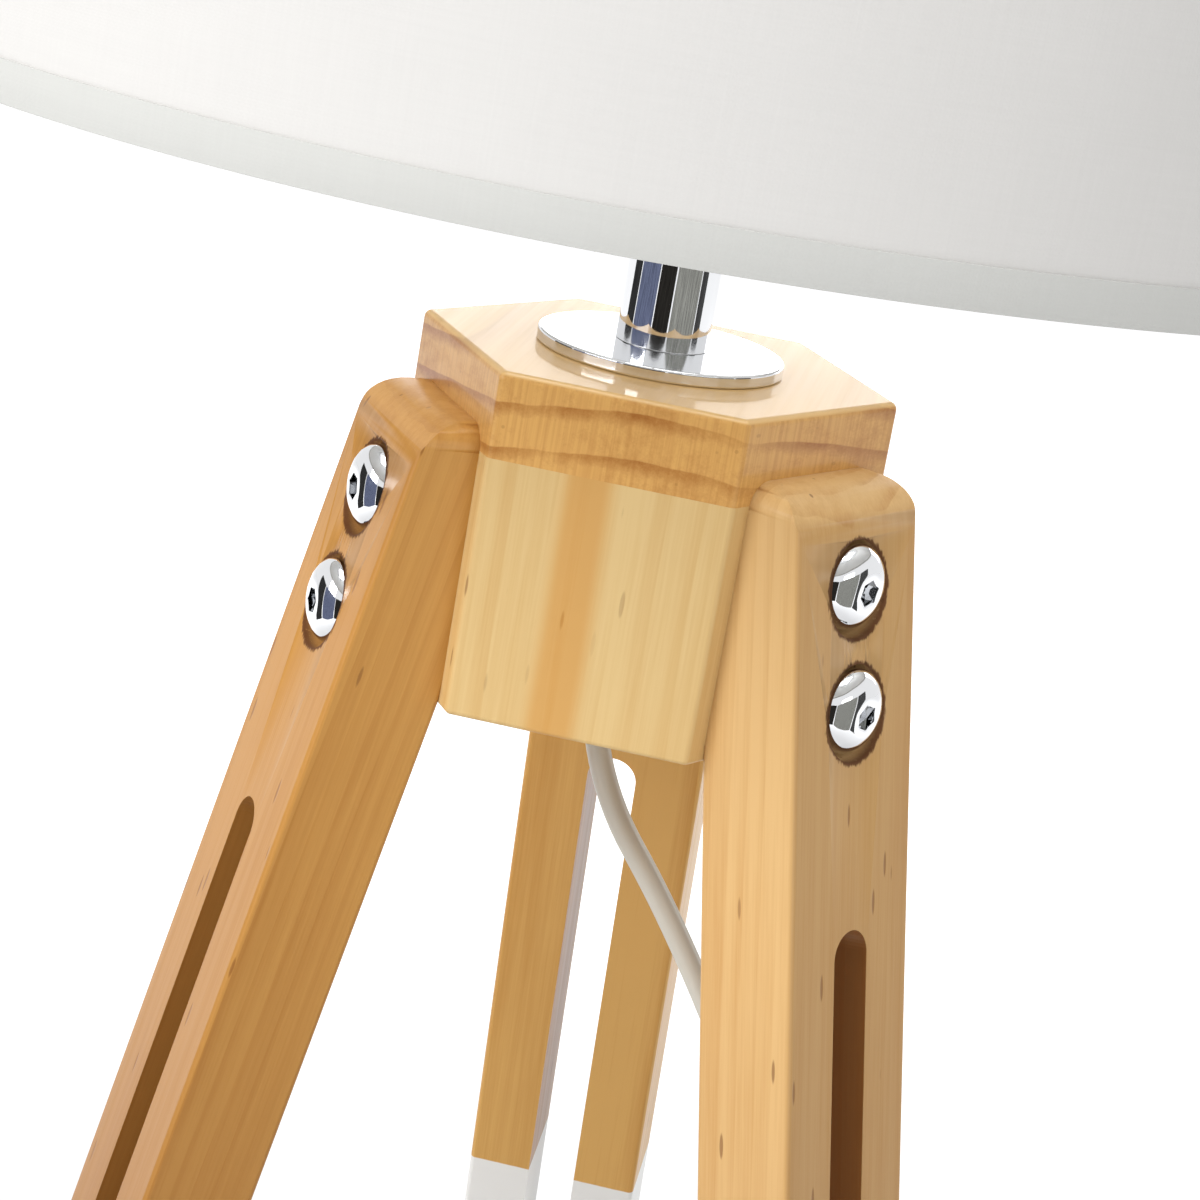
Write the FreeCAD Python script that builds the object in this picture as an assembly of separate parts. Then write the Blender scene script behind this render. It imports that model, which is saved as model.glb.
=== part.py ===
"""Tripod table lamp: three slotted wooden legs bolted to a hexagonal head, a plated tube,
an E27 holder and a drum shade, with its mains cord, inline switch and plug.

Millimetres.  Z is up, the floor is z = 0 and the lamp's axis is the Z axis.
The legs stand at azimuths -30, 90 and 210 degrees, and a free face of the head looks to -Y.
"""
import FreeCAD, Part
import math
import os
from FreeCAD import Vector

# ---------------------------------------------------------------- driving dimensions
# head: a cap plate glued on a block, both hexagonal
head_top_z = 357.0
cap_height = 14.5
block_height = 44.5
leg_face_side = 42.0
free_face_side = 41.0
head_corner_round = 1.2
cap_top_round = 1.3
block_bottom_round = 1.0
nut_bore_radius = 12.0
nut_bore_depth = 26.0

# legs
leg_azimuths = (-30.0, 90.0, 210.0)
leg_names = ("leg_right", "leg_back", "leg_left")
leg_width = 34.0
leg_thickness = 19.0
leg_splay = 11.7
leg_top_drop = 10.5
leg_top_round = 9.5
leg_corner_round = 4.5
leg_edge_round = 1.0
slot_width = 9.4
slot_top_drop = 26.0
slot_foot_height = 75.0

# felt pads under the feet
pad_thickness = 2.0
pad_radius = 7.0

# leg bolts, screwed into inserts in the block
bolt_drops = (26.7, 47.0)
bolt_head_radius = 6.5
bolt_head_height = 4.2
bolt_shank_radius = 2.95
bolt_length = 30.0
bolt_socket_flats = 4.0
bolt_socket_depth = 2.4
bolt_recess_depth = 5.0
bolt_head_clearance = 1.65
bolt_shank_clearance = 0.35
insert_wall = 1.75
insert_thread_gap = 0.1
insert_length = 13.0
insert_sink = 1.0

# plated column
flange_radius = 21.3
flange_thickness = 2.3
flange_edge_round = 0.5
tube_radius = 8.0
tube_wall = 1.0
tube_length = 60.7
rod_radius = 4.95
rod_hole_clearance = 0.35
rod_cord_clearance = 0.9
rod_thread_gap = 0.1
rod_below_nut = 7.5
washer_radius = 9.5
washer_thickness = 1.5
nut_flats = 15.0
nut_height = 5.0

# cord grip at the underside of the block
grip_head_radius = 7.5
grip_head_height = 10.5
grip_sleeve_top_radius = 6.0
grip_sleeve_wall = 1.2
grip_sleeve_length = 16.0
grip_cord_gap = 0.1
grip_nut_gap = 0.3

# lamp holder
holder_radius = 19.25
holder_wall = 2.0
holder_base_height = 26.0
holder_base_floor = 3.0
holder_neck_radius = 11.0
holder_sleeve_height = 32.0
holder_shoulder_radius = 24.0
holder_shoulder_height = 2.0
holder_mouth_radius = 16.0
holder_lip_height = 2.0
core_height = 5.0
core_top_drop = 8.0
core_gap = 0.2
shell_bulb_gap = 0.3
shell_wall = 0.5
shell_height = 26.0
contact_radius = 3.5
contact_height = 2.0
clamp_ring_height = 10.0
clamp_washer_height = 0.8
clamp_ring_grips = 20
clamp_ring_grip_radius = 1.2
running_gap = 0.3

# bulb, E27 with a 60 mm globe
bulb_tip_radius = 4.8
bulb_tip_height = 1.2
bulb_insulator_height = 3.5
bulb_cap_radius = 13.05
bulb_cap_wall = 0.5
bulb_cap_height = 22.0
bulb_globe_radius = 30.0
bulb_globe_wall = 1.0
bulb_collar_height = 26.0
bulb_collar_foot_step = 0.55
bulb_collar_wall = 1.6
bulb_length = 101.7
led_board_thickness = 1.5

# drum shade
shade_radius = 150.0
shade_height = 200.0
shade_rim_gap = 43.0
fabric_thickness = 0.5
liner_thickness = 0.4
hem_thickness = 0.5
hem_height = 6.0
hem_fit = 0.05
ring_wire_radius = 1.5
arm_wire_radius = 1.4
arm_count = 3
arm_first_azimuth = 30.0
hub_radius = 27.0
hub_thickness = 2.0
hub_clearance = 0.75

# mains cord: it hangs from the grip, passes the switch and ends in the plug, on the floor
cord_diameter = 5.0
# the hanging stretch: x, y and the share of the grip's height above the floor
cord_hang_points = (
    (3.0, 0.0, 0.957), (18.6, 0.2, 0.89), (37.5, 0.6, 0.786), (51.5, 0.9, 0.655),
    (59.0, 1.2, 0.517), (62.3, 1.0, 0.383), (63.2, 0.4, 0.241), (63.2, 0.0, 0.103),
    (73.2, -0.2, 0.043),
)
# on the floor: x and y
cord_lead_floor_points = ((90.5, -0.3), (108.8, -0.2), (123.5, 8.3))
cord_lead_run_in = 17.0
cord_mid_run_out = 15.0
cord_mid_floor_points = (
    (125.2, 130.4), (113.05, 139.2), (97.2, 141.65), (75.5, 132.5), (44.0, 107.3), (15.6, 83.0),
)
cord_mid_run_in = 33.0
cord_tail_run = 14.0
cord_tail_turn = -24.95
cord_tail_turns = 4
coil_centre = (-41.75, 29.65)
coil_start_angle = 99.8
coil_inner_radius = 22.0
coil_turn_gap = 1.4
coil_layer_gap = 1.2
coil_half_turns_each_layer = 5
tie_width = 7.0
tie_thickness = 0.8
tie_azimuth = 205.0
tie_gap = 0.2

# inline switch, in its own frame: x along the cord, z up
switch_centre = (132.0, 71.0)
switch_azimuth = 90.0
switch_length = 62.0
switch_width = 24.0
switch_height = 15.0
switch_split_z = 7.0
switch_wall = 1.8
switch_corner_round = 8.0
switch_top_round = 2.5
switch_cord_z = 5.5
rocker_half_length = 6.9
rocker_top_half_length = 6.2
rocker_width = 8.4
rocker_pivot_z = 10.6
rocker_pin_radius = 1.2
rocker_pin_length = 1.6
rocker_pin_gap = 0.08
rocker_tilt = 11.0
rocker_side_gap = 0.3
rocker_end_gap = 0.7
pivot_boss_size = 4.4
switch_screw_place = (20.0, 8.4)
switch_post_radius = 2.6
switch_screw_radius = 1.25
switch_screw_head_radius = 2.2
switch_screw_head_height = 1.0
terminal_size = (9.0, 5.0, 3.2)
terminal_place = (15.5, 4.4)

# flat two-pin plug
plug_width = 35.0
plug_height = 14.0
plug_face_length = 14.0
plug_body_length = 38.0
plug_neck_width = 15.0
plug_edge_round = 3.0
plug_sleeve_length = 25.0
plug_sleeve_root_radius = 5.0
plug_sleeve_wall = 0.9
plug_pin_radius = 2.0
plug_pin_length = 19.0
plug_pin_shank_radius = 1.5
plug_pin_neck = 0.8
plug_pin_spacing = 19.0
plug_pin_root = 8.0
plug_pin_gap = 0.05

# ---------------------------------------------------------------- derived heights and radii
block_top_z = head_top_z - cap_height
block_bottom_z = block_top_z - block_height
leg_top_z = head_top_z - leg_top_drop
leg_face_distance = (leg_face_side + 2.0 * free_face_side) / (2.0 * math.sqrt(3.0))
free_face_distance = (2.0 * leg_face_side + free_face_side) / (2.0 * math.sqrt(3.0))
splay_slope = math.tan(math.radians(leg_splay))
splay_cos = math.cos(math.radians(leg_splay))
counterbore_radius = bolt_head_radius + bolt_head_clearance
bolt_hole_radius = bolt_shank_radius + bolt_shank_clearance
insert_bore_radius = bolt_shank_radius + insert_thread_gap
insert_radius = insert_bore_radius + insert_wall

cord_radius = cord_diameter / 2.0
rod_hole_radius = rod_radius + rod_hole_clearance
rod_bore_radius = cord_radius + rod_cord_clearance
rod_thread_radius = rod_radius + rod_thread_gap
grip_hole_radius = cord_radius + grip_cord_gap
grip_sleeve_end_radius = cord_radius + grip_sleeve_wall
nut_bore_top_z = block_bottom_z + nut_bore_depth
nut_top_z = nut_bore_top_z - washer_thickness
nut_bottom_z = nut_top_z - nut_height
rod_bottom_z = nut_bottom_z - rod_below_nut
grip_top_z = nut_bottom_z - grip_nut_gap
grip_sleeve_top_z = grip_top_z - grip_head_height
cord_exit_z = grip_sleeve_top_z - grip_sleeve_length

flange_top_z = head_top_z + flange_thickness
holder_bottom_z = flange_top_z + tube_length
holder_floor_top_z = holder_bottom_z + holder_base_floor
rod_top_z = holder_floor_top_z + nut_height + 1.0
sleeve_bottom_z = holder_bottom_z + holder_base_height
sleeve_top_z = sleeve_bottom_z + holder_sleeve_height
shoulder_top_z = sleeve_bottom_z + holder_shoulder_height
core_top_z = sleeve_bottom_z - core_top_drop
core_bottom_z = core_top_z - core_height
holder_bore_radius = holder_radius - holder_wall

hub_bottom_z = shoulder_top_z + running_gap
hub_top_z = hub_bottom_z + hub_thickness
hub_hole_radius = holder_radius + hub_clearance
clamp_washer_z = hub_top_z + running_gap
clamp_bottom_z = clamp_washer_z + clamp_washer_height + running_gap
clamp_bore_radius = holder_radius + running_gap
shell_bore_radius = bulb_cap_radius + shell_bulb_gap

contact_top_z = core_top_z + contact_height
bulb_tip_z = contact_top_z + running_gap
bulb_insulator_z = bulb_tip_z + bulb_tip_height
bulb_cap_bottom_z = bulb_insulator_z + bulb_insulator_height
bulb_cap_top_z = bulb_cap_bottom_z + bulb_cap_height
collar_top_z = bulb_cap_top_z + bulb_collar_height
globe_centre_z = bulb_tip_z + bulb_length - bulb_globe_radius
collar_top_radius = math.sqrt(bulb_globe_radius ** 2 - (globe_centre_z - collar_top_z) ** 2)

shade_bottom_z = head_top_z + shade_rim_gap
shade_top_z = shade_bottom_z + shade_height
fabric_radius = shade_radius - hem_thickness
liner_radius = fabric_radius - fabric_thickness
ring_radius = liner_radius - liner_thickness - hem_fit - ring_wire_radius
hem_inner_radius = ring_radius - ring_wire_radius - hem_fit - hem_thickness
ring_inset = hem_thickness + hem_fit + ring_wire_radius

coil_pitch = cord_diameter + coil_turn_gap
coil_layer_rise = cord_diameter + coil_layer_gap
coil_outer_radius = coil_inner_radius + coil_half_turns_each_layer * coil_pitch / 2.0
coil_low_z = tie_thickness + cord_radius + tie_gap / 2.0
plug_sleeve_end_radius = cord_radius + plug_sleeve_wall

Z_AXIS = Vector(0, 0, 1)
ORIGIN = Vector(0, 0, 0)


# ---------------------------------------------------------------- small helpers
def polar(radius, azimuth, z=0.0):
    """Point at a radius and azimuth (degrees) round the lamp's axis."""
    angle = math.radians(azimuth)
    return Vector(radius * math.cos(angle), radius * math.sin(angle), z)


def heading(azimuth):
    """Level unit vector at an azimuth in degrees."""
    return polar(1.0, azimuth)


def turned(shape, azimuth):
    """A copy of a shape built towards +X, turned round the Z axis."""
    copy = shape.copy()
    copy.rotate(ORIGIN, Z_AXIS, azimuth)
    return copy


def revolved(profile):
    """Solid of revolution round Z from (radius, z) corners, in order."""
    points = [Vector(r, 0, z) for r, z in profile]
    face = Part.Face(Part.makePolygon(points + [points[0]]))
    return face.revolve(ORIGIN, Z_AXIS, 360)


def ring(outer, inner, bottom, top):
    """Plain ring or washer round Z."""
    return revolved([(inner, bottom), (outer, bottom), (outer, top), (inner, top)])


def prism(points, direction):
    """Closed polygon of points, extruded."""
    return Part.Face(Part.makePolygon(list(points) + [points[0]])).extrude(direction)


def line(start, end):
    return Part.LineSegment(start, end).toShape()


def arc(start, middle, end):
    return Part.Arc(start, middle, end).toShape()


def rounded_rectangle(length, width, radius, centre=ORIGIN):
    """Face in the XY plane with rounded corners, centred on a point."""
    a, b, r = length / 2.0, width / 2.0, radius
    k = r * (1.0 - math.sqrt(0.5))
    corners = ((1, 1), (-1, 1), (-1, -1), (1, -1))
    edges = []
    last = None
    first = None
    for index, (sx, sy) in enumerate(corners):
        along = Vector(sx * a, sy * (b - r), 0) + centre
        across = Vector(sx * (a - r), sy * b, 0) + centre
        middle = Vector(sx * (a - k), sy * (b - k), 0) + centre
        start, end = (along, across) if index % 2 == 0 else (across, along)
        if last is None:
            first = start
        else:
            edges.append(line(last, start))
        edges.append(arc(start, middle, end))
        last = end
    edges.append(line(last, first))
    return Part.Face(Part.Wire(edges))


def hexagon_prism(flats, bottom, height):
    """Hexagonal nut blank round Z."""
    corner = flats / math.sqrt(3.0)
    points = [polar(corner, 60.0 * i, bottom) for i in range(6)]
    return prism(points, Vector(0, 0, height))


def vertical_edges(shape):
    """Straight edges of a shape that run along Z."""
    found = []
    for edge in shape.Edges:
        if len(edge.Vertexes) == 2:
            a, b = edge.Vertexes[0].Point, edge.Vertexes[1].Point
            if abs(a.x - b.x) + abs(a.y - b.y) < 1e-6 and abs(a.z - b.z) > 1e-6:
                found.append(edge)
    return found


def edges_at_height(shape, z):
    """Edges that lie wholly at one height."""
    return [e for e in shape.Edges if abs(e.BoundBox.ZMin - z) < 1e-6 and abs(e.BoundBox.ZMax - z) < 1e-6]


# ---------------------------------------------------------------- head
def head_corners(z):
    """Corners of the hexagon whose sides alternate between leg faces and free faces."""
    corners = []
    for leg_azimuth in leg_azimuths:
        for side in (-1, 1):
            corners.append(polar(leg_face_distance, leg_azimuth, z)
                           + heading(leg_azimuth + 90.0) * (side * leg_face_side / 2.0))
    return corners


def head_prism(bottom, top):
    shape = prism(head_corners(bottom), Vector(0, 0, top - bottom))
    return shape.makeFillet(head_corner_round, vertical_edges(shape))


def make_cap_plate():
    shape = head_prism(block_top_z, head_top_z)
    shape = shape.makeFillet(cap_top_round, edges_at_height(shape, head_top_z))
    hole = Part.makeCylinder(rod_hole_radius, cap_height + 2.0, Vector(0, 0, block_top_z - 1.0))
    return shape.cut(hole)


def bolt_face_radius(z):
    """Radius of a leg's outer face at a height."""
    return leg_face_distance + leg_thickness / splay_cos + (block_bottom_z - z) * splay_slope


def bolt_heights():
    return [head_top_z - drop for drop in bolt_drops]


def radial_cylinder(radius, inner, outer, z):
    """Cylinder along +X between two radii."""
    return Part.makeCylinder(radius, outer - inner, Vector(inner, 0, z), Vector(1, 0, 0))


def bolt_seat_radius(z):
    return bolt_face_radius(z) - bolt_recess_depth


def make_head_block():
    shape = head_prism(block_bottom_z, block_top_z)
    shape = shape.makeFillet(block_bottom_round, edges_at_height(shape, block_bottom_z))
    shape = shape.cut(Part.makeCylinder(rod_hole_radius, block_height + 2.0,
                                        Vector(0, 0, block_bottom_z - 1.0)))
    shape = shape.cut(Part.makeCylinder(nut_bore_radius, nut_bore_depth + 1.0,
                                        Vector(0, 0, block_bottom_z - 1.0)))
    face = leg_face_distance
    for z in bolt_heights():
        tip = bolt_seat_radius(z) - bolt_length - 1.0
        pocket = radial_cylinder(insert_radius, face - insert_sink - insert_length, face + 1.0, z)
        pilot = radial_cylinder(bolt_hole_radius, tip, face, z)
        for azimuth in leg_azimuths:
            shape = shape.cut(turned(pocket.fuse(pilot), azimuth))
    return shape


# ---------------------------------------------------------------- legs
def leg_board():
    """The leg as a splayed board with eased long edges and its slot, longer than needed."""
    length = (leg_top_z - pad_thickness) / splay_cos + 60.0
    face = rounded_rectangle(leg_thickness, leg_width, leg_edge_round)
    board = face.extrude(Vector(0, 0, length))
    slot_length = (block_bottom_z - slot_top_drop - slot_foot_height) / splay_cos
    middle_z = (block_bottom_z - slot_top_drop + slot_foot_height) / 2.0
    # board coordinates: its mid-plane passes the block's bottom edge at the height below
    mid_radius = leg_face_distance + leg_thickness / splay_cos / 2.0
    foot = 30.0
    board.translate(Vector(0, 0, -foot))
    board.rotate(ORIGIN, Vector(0, 1, 0), -leg_splay)
    board.translate(Vector(mid_radius + block_bottom_z * splay_slope, 0, 0))
    slot = slot_cutter(slot_length)
    slot.rotate(ORIGIN, Vector(0, 1, 0), -leg_splay)
    slot.translate(Vector(mid_radius + (block_bottom_z - middle_z) * splay_slope, 0, middle_z))
    return board.cut(slot)


def slot_cutter(length):
    """Round-ended slot through a board that lies in the YZ plane, centred on the origin."""
    half = length / 2.0 - slot_width / 2.0
    r = slot_width / 2.0
    depth = leg_thickness * 2.0
    x = -depth / 2.0
    low_left = Vector(x, -r, -half)
    low_right = Vector(x, r, -half)
    high_left = Vector(x, -r, half)
    high_right = Vector(x, r, half)
    edges = [
        arc(low_left, Vector(x, 0, -half - r), low_right),
        line(low_right, high_right),
        arc(high_right, Vector(x, 0, half + r), high_left),
        line(high_left, low_left),
    ]
    return Part.Face(Part.Wire(edges)).extrude(Vector(depth, 0, 0))


def leg_side_profile():
    """Region, seen from the side, that keeps the wedge cut, the rounded top and the flat foot."""
    inner = leg_face_distance
    top_outer = bolt_face_radius(leg_top_z)
    reach = inner + leg_top_z * splay_slope + leg_thickness * 3.0
    corner_angle = math.radians(90.0 + leg_splay)
    tangent = leg_top_round / math.tan(corner_angle / 2.0)
    start = Vector(top_outer - tangent, 0, leg_top_z)
    down = Vector(splay_slope, 0, -1.0)
    down.normalize()
    corner = Vector(top_outer, 0, leg_top_z)
    end = corner + down * tangent
    to_centre = Vector(-1, 0, 0) + down
    to_centre.normalize()
    centre = corner + to_centre * (leg_top_round / math.sin(corner_angle / 2.0))
    middle = centre - to_centre * leg_top_round
    outside = end + Vector(reach - end.x, 0, 0)
    foot_out = Vector(reach, 0, pad_thickness)
    foot_in = Vector(inner, 0, pad_thickness)
    edges = [
        line(Vector(inner, 0, leg_top_z), start),
        arc(start, middle, end),
        line(end, outside),
        line(outside, foot_out),
        line(foot_out, foot_in),
        line(foot_in, Vector(inner, 0, leg_top_z)),
    ]
    half = Vector(0, leg_width, 0)
    face = Part.Face(Part.Wire(edges))
    face.translate(half * -1.0)
    return face.extrude(half * 2.0)


def leg_front_outline():
    """Outline seen square to the leg, with the rounded top corners."""
    half = leg_width / 2.0
    r = leg_corner_round
    k = r * (1.0 - math.sqrt(0.5))
    top = leg_top_z
    edges = [
        line(Vector(0, -half, 0), Vector(0, half, 0)),
        line(Vector(0, half, 0), Vector(0, half, top - r)),
        arc(Vector(0, half, top - r), Vector(0, half - k, top - k), Vector(0, half - r, top)),
        line(Vector(0, half - r, top), Vector(0, r - half, top)),
        arc(Vector(0, r - half, top), Vector(0, k - half, top - k), Vector(0, -half, top - r)),
        line(Vector(0, -half, top - r), Vector(0, -half, 0)),
    ]
    reach = leg_face_distance + leg_top_z * splay_slope + leg_thickness * 3.0
    return Part.Face(Part.Wire(edges)).extrude(Vector(reach, 0, 0))


def make_leg():
    shape = leg_board().common(leg_side_profile()).common(leg_front_outline())
    for z in bolt_heights():
        seat = bolt_seat_radius(z)
        shape = shape.cut(radial_cylinder(counterbore_radius, seat, seat + leg_thickness, z))
        shape = shape.cut(radial_cylinder(bolt_hole_radius, leg_face_distance - 1.0, seat + 1.0, z))
    return shape


def leg_foot_radius():
    """Middle of a leg's foot, at the height of the pads."""
    drop = block_bottom_z - pad_thickness
    return leg_face_distance + leg_thickness / splay_cos / 2.0 + drop * splay_slope


def make_foot_pads():
    pads = []
    for azimuth in leg_azimuths:
        place = polar(leg_foot_radius(), azimuth)
        pad = Part.makeCylinder(pad_radius, pad_thickness, place)
        pads.append(pad)
    return Part.makeCompound(pads)


# ---------------------------------------------------------------- leg bolts
def bolt_blank():
    """Button-head bolt along Z: the head's seat at z = 0, the shank below it."""
    half = bolt_head_radius
    rise = bolt_head_height
    crown = rise * 0.86
    low = rise * 0.16
    top_radius = bolt_socket_flats * 0.75
    edges = [
        line(Vector(0, 0, 0), Vector(half, 0, 0)),
        line(Vector(half, 0, 0), Vector(half, 0, low)),
        arc(Vector(half, 0, low), Vector(half * 0.8, 0, crown * 0.78), Vector(top_radius, 0, rise)),
        line(Vector(top_radius, 0, rise), Vector(0, 0, rise)),
        line(Vector(0, 0, rise), Vector(0, 0, 0)),
    ]
    head = Part.Face(Part.Wire(edges)).revolve(ORIGIN, Z_AXIS, 360)
    socket = hexagon_prism(bolt_socket_flats, rise - bolt_socket_depth, bolt_socket_depth + 1.0)
    shank = Part.makeCylinder(bolt_shank_radius, bolt_length, Vector(0, 0, -bolt_length))
    shank = shank.makeChamfer(0.6, edges_at_height(shank, -bolt_length))
    return head.cut(socket).fuse(shank)


def at_bolts(make):
    """One copy of a piece, built along +X for a bolt height, for every bolt of every leg."""
    copies = []
    for azimuth in leg_azimuths:
        for z in bolt_heights():
            copies.append(turned(make(z), azimuth))
    return Part.makeCompound(copies)


def placed_bolt(z):
    bolt = bolt_blank()
    bolt.rotate(ORIGIN, Vector(0, 1, 0), 90)
    bolt.translate(Vector(bolt_seat_radius(z), 0, z))
    return bolt


def placed_insert(z):
    outer = leg_face_distance - insert_sink
    inner = outer - insert_length
    body = radial_cylinder(insert_radius - 0.05, inner, outer, z)
    return body.cut(radial_cylinder(insert_bore_radius, inner - 1.0, outer + 1.0, z))


# ---------------------------------------------------------------- plated column
def make_flange_disc():
    disc = ring(flange_radius, rod_hole_radius, head_top_z, flange_top_z)
    rim = [e for e in edges_at_height(disc, flange_top_z) if e.BoundBox.XMax > rod_hole_radius + 1.0]
    return disc.makeFillet(flange_edge_round, rim)


def make_tube():
    return ring(tube_radius, tube_radius - tube_wall, flange_top_z, holder_bottom_z)


def make_rod():
    return ring(rod_radius, rod_bore_radius, rod_bottom_z, rod_top_z)


def make_rod_washer():
    return ring(washer_radius, rod_hole_radius, nut_top_z, nut_bore_top_z)


def nut(bottom):
    blank = hexagon_prism(nut_flats, bottom, nut_height)
    hole = Part.makeCylinder(rod_thread_radius, nut_height + 2.0, Vector(0, 0, bottom - 1.0))
    return blank.cut(hole)


def make_rod_nuts():
    return Part.makeCompound([nut(nut_bottom_z), nut(holder_floor_top_z)])


def make_cord_grip():
    """Bush screwed on the end of the rod, with a tapered sleeve that holds the cord."""
    thread = rod_thread_radius
    rod_end = rod_bottom_z - 0.2
    return revolved([
        (thread, grip_top_z),
        (grip_head_radius, grip_top_z),
        (grip_head_radius, grip_sleeve_top_z),
        (grip_sleeve_top_radius, grip_sleeve_top_z),
        (grip_sleeve_end_radius, cord_exit_z),
        (grip_hole_radius, cord_exit_z),
        (grip_hole_radius, rod_end),
        (thread, rod_end),
    ])


def make_inner_cord():
    """The cord's last stretch, through the grip and up the rod to the holder's contact."""
    return Part.makeCylinder(cord_radius, core_top_z - cord_exit_z, Vector(0, 0, cord_exit_z))


# ---------------------------------------------------------------- lamp holder
def make_holder_base():
    neck = holder_neck_radius
    shoulder_z = holder_bottom_z + 12.0
    wall = holder_wall
    return revolved([
        (rod_hole_radius, holder_bottom_z),
        (neck, holder_bottom_z),
        (neck + (holder_radius - neck) * 0.62, holder_bottom_z + 4.0),
        (holder_radius, shoulder_z),
        (holder_radius, sleeve_bottom_z),
        (holder_bore_radius, sleeve_bottom_z),
        (holder_bore_radius, shoulder_z + wall * 0.5),
        (neck - wall + (holder_radius - neck) * 0.62, holder_floor_top_z + 2.5),
        (neck - 0.5, holder_floor_top_z),
        (rod_hole_radius, holder_floor_top_z),
    ])


def make_holder_sleeve():
    bore = holder_bore_radius
    return revolved([
        (bore, sleeve_bottom_z),
        (holder_shoulder_radius, sleeve_bottom_z),
        (holder_shoulder_radius, shoulder_top_z),
        (holder_radius, shoulder_top_z),
        (holder_radius, sleeve_top_z - 0.6),
        (holder_radius - 0.6, sleeve_top_z),
        (holder_mouth_radius, sleeve_top_z),
        (holder_mouth_radius, sleeve_top_z - holder_lip_height),
        (bore, sleeve_top_z - holder_lip_height),
    ])


def make_socket_core():
    disc = ring(holder_bore_radius - core_gap, cord_radius + 1.5, core_bottom_z, core_top_z)
    return disc


def make_socket_shell():
    outer = shell_bore_radius + shell_wall
    top = core_top_z + shell_height
    floor = core_top_z + shell_wall
    return revolved([
        (shell_bore_radius - 3.0, core_top_z),
        (outer, core_top_z),
        (outer, top),
        (shell_bore_radius, top),
        (shell_bore_radius, floor),
        (shell_bore_radius - 3.0, floor),
    ])


def make_centre_contact():
    bridge = cord_radius + 2.5
    disc = Part.makeCylinder(bridge, shell_wall, Vector(0, 0, core_top_z))
    button = Part.makeCylinder(contact_radius, contact_height, Vector(0, 0, core_top_z))
    return disc.fuse(button)


def make_clamp_washer():
    """Washer between the shade's hub and the ring that clamps it."""
    return ring(hub_radius - 1.0, clamp_bore_radius, clamp_washer_z, clamp_washer_z + clamp_washer_height)


def make_clamp_ring():
    """Ring that screws down the holder's sleeve and clamps the shade's hub."""
    body = ring(hub_radius, clamp_bore_radius, clamp_bottom_z, clamp_bottom_z + clamp_ring_height)
    grips = []
    for i in range(clamp_ring_grips):
        place = polar(hub_radius + clamp_ring_grip_radius * 0.4, i * 360.0 / clamp_ring_grips,
                      clamp_bottom_z - 1.0)
        grips.append(Part.makeCylinder(clamp_ring_grip_radius, clamp_ring_height + 2.0, place))
    return body.cut(Part.makeCompound(grips))


# ---------------------------------------------------------------- bulb
def make_bulb_tip():
    return Part.makeCylinder(bulb_tip_radius, bulb_tip_height, Vector(0, 0, bulb_tip_z))


def make_bulb_insulator():
    inner = bulb_cap_radius - bulb_cap_wall
    return revolved([
        (0.0, bulb_insulator_z),
        (bulb_tip_radius + 1.0, bulb_insulator_z),
        (inner, bulb_cap_bottom_z),
        (inner, bulb_cap_bottom_z + 2.0),
        (0.0, bulb_cap_bottom_z + 2.0),
    ])


def make_bulb_cap():
    return ring(bulb_cap_radius, bulb_cap_radius - bulb_cap_wall, bulb_cap_bottom_z, bulb_cap_top_z)


def make_bulb_collar():
    """Neck between the screw cap and the globe, flaring to the globe's width."""
    foot = bulb_cap_radius + bulb_collar_foot_step
    plug = bulb_cap_radius - bulb_cap_wall
    top = collar_top_radius
    wall = bulb_collar_wall
    z0 = bulb_cap_top_z
    z1 = collar_top_z
    bend_z = z0 + (z1 - z0) * 0.55
    bend_r = foot + (top - foot) * 0.24
    seat_z = z1 - led_board_thickness
    edges = [
        line(Vector(0, 0, z0 - 6.0), Vector(plug, 0, z0 - 6.0)),
        line(Vector(plug, 0, z0 - 6.0), Vector(plug, 0, z0)),
        line(Vector(plug, 0, z0), Vector(foot, 0, z0)),
        arc(Vector(foot, 0, z0), Vector(bend_r, 0, bend_z), Vector(top, 0, z1)),
        line(Vector(top, 0, z1), Vector(top - wall, 0, z1)),
        line(Vector(top - wall, 0, z1), Vector(top - wall, 0, seat_z)),
        line(Vector(top - wall, 0, seat_z), Vector(0, 0, seat_z)),
        line(Vector(0, 0, seat_z), Vector(0, 0, z0 - 6.0)),
    ]
    return Part.Face(Part.Wire(edges)).revolve(ORIGIN, Z_AXIS, 360)


def make_led_board():
    return Part.makeCylinder(collar_top_radius - bulb_collar_wall - 0.2, led_board_thickness,
                             Vector(0, 0, collar_top_z - led_board_thickness))


def make_bulb_globe():
    centre = Vector(0, 0, globe_centre_z)
    outer = Part.makeSphere(bulb_globe_radius, centre)
    inner = Part.makeSphere(bulb_globe_radius - bulb_globe_wall, centre)
    size = bulb_globe_radius * 4.0
    below = Part.makeBox(size, size, size, Vector(-size / 2.0, -size / 2.0, collar_top_z - size))
    return outer.cut(inner).cut(below)


# ---------------------------------------------------------------- shade
def make_shade_fabric():
    return ring(fabric_radius, liner_radius, shade_bottom_z + hem_thickness + hem_fit,
                shade_top_z - hem_thickness - hem_fit)


def make_shade_liner():
    return ring(liner_radius, liner_radius - liner_thickness, shade_bottom_z + hem_thickness + hem_fit,
                shade_top_z - hem_thickness - hem_fit)


def arm_ends(azimuth):
    """Centre line of a spider arm, from the hub to the bottom ring."""
    start = polar(hub_radius - arm_wire_radius, azimuth, hub_top_z - arm_wire_radius - 0.1)
    end = polar(ring_radius, azimuth, shade_bottom_z + ring_inset)
    return start, end


def rod_between(start, end, radius):
    along = end - start
    return Part.makeCylinder(radius, along.Length, start, along)


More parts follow.
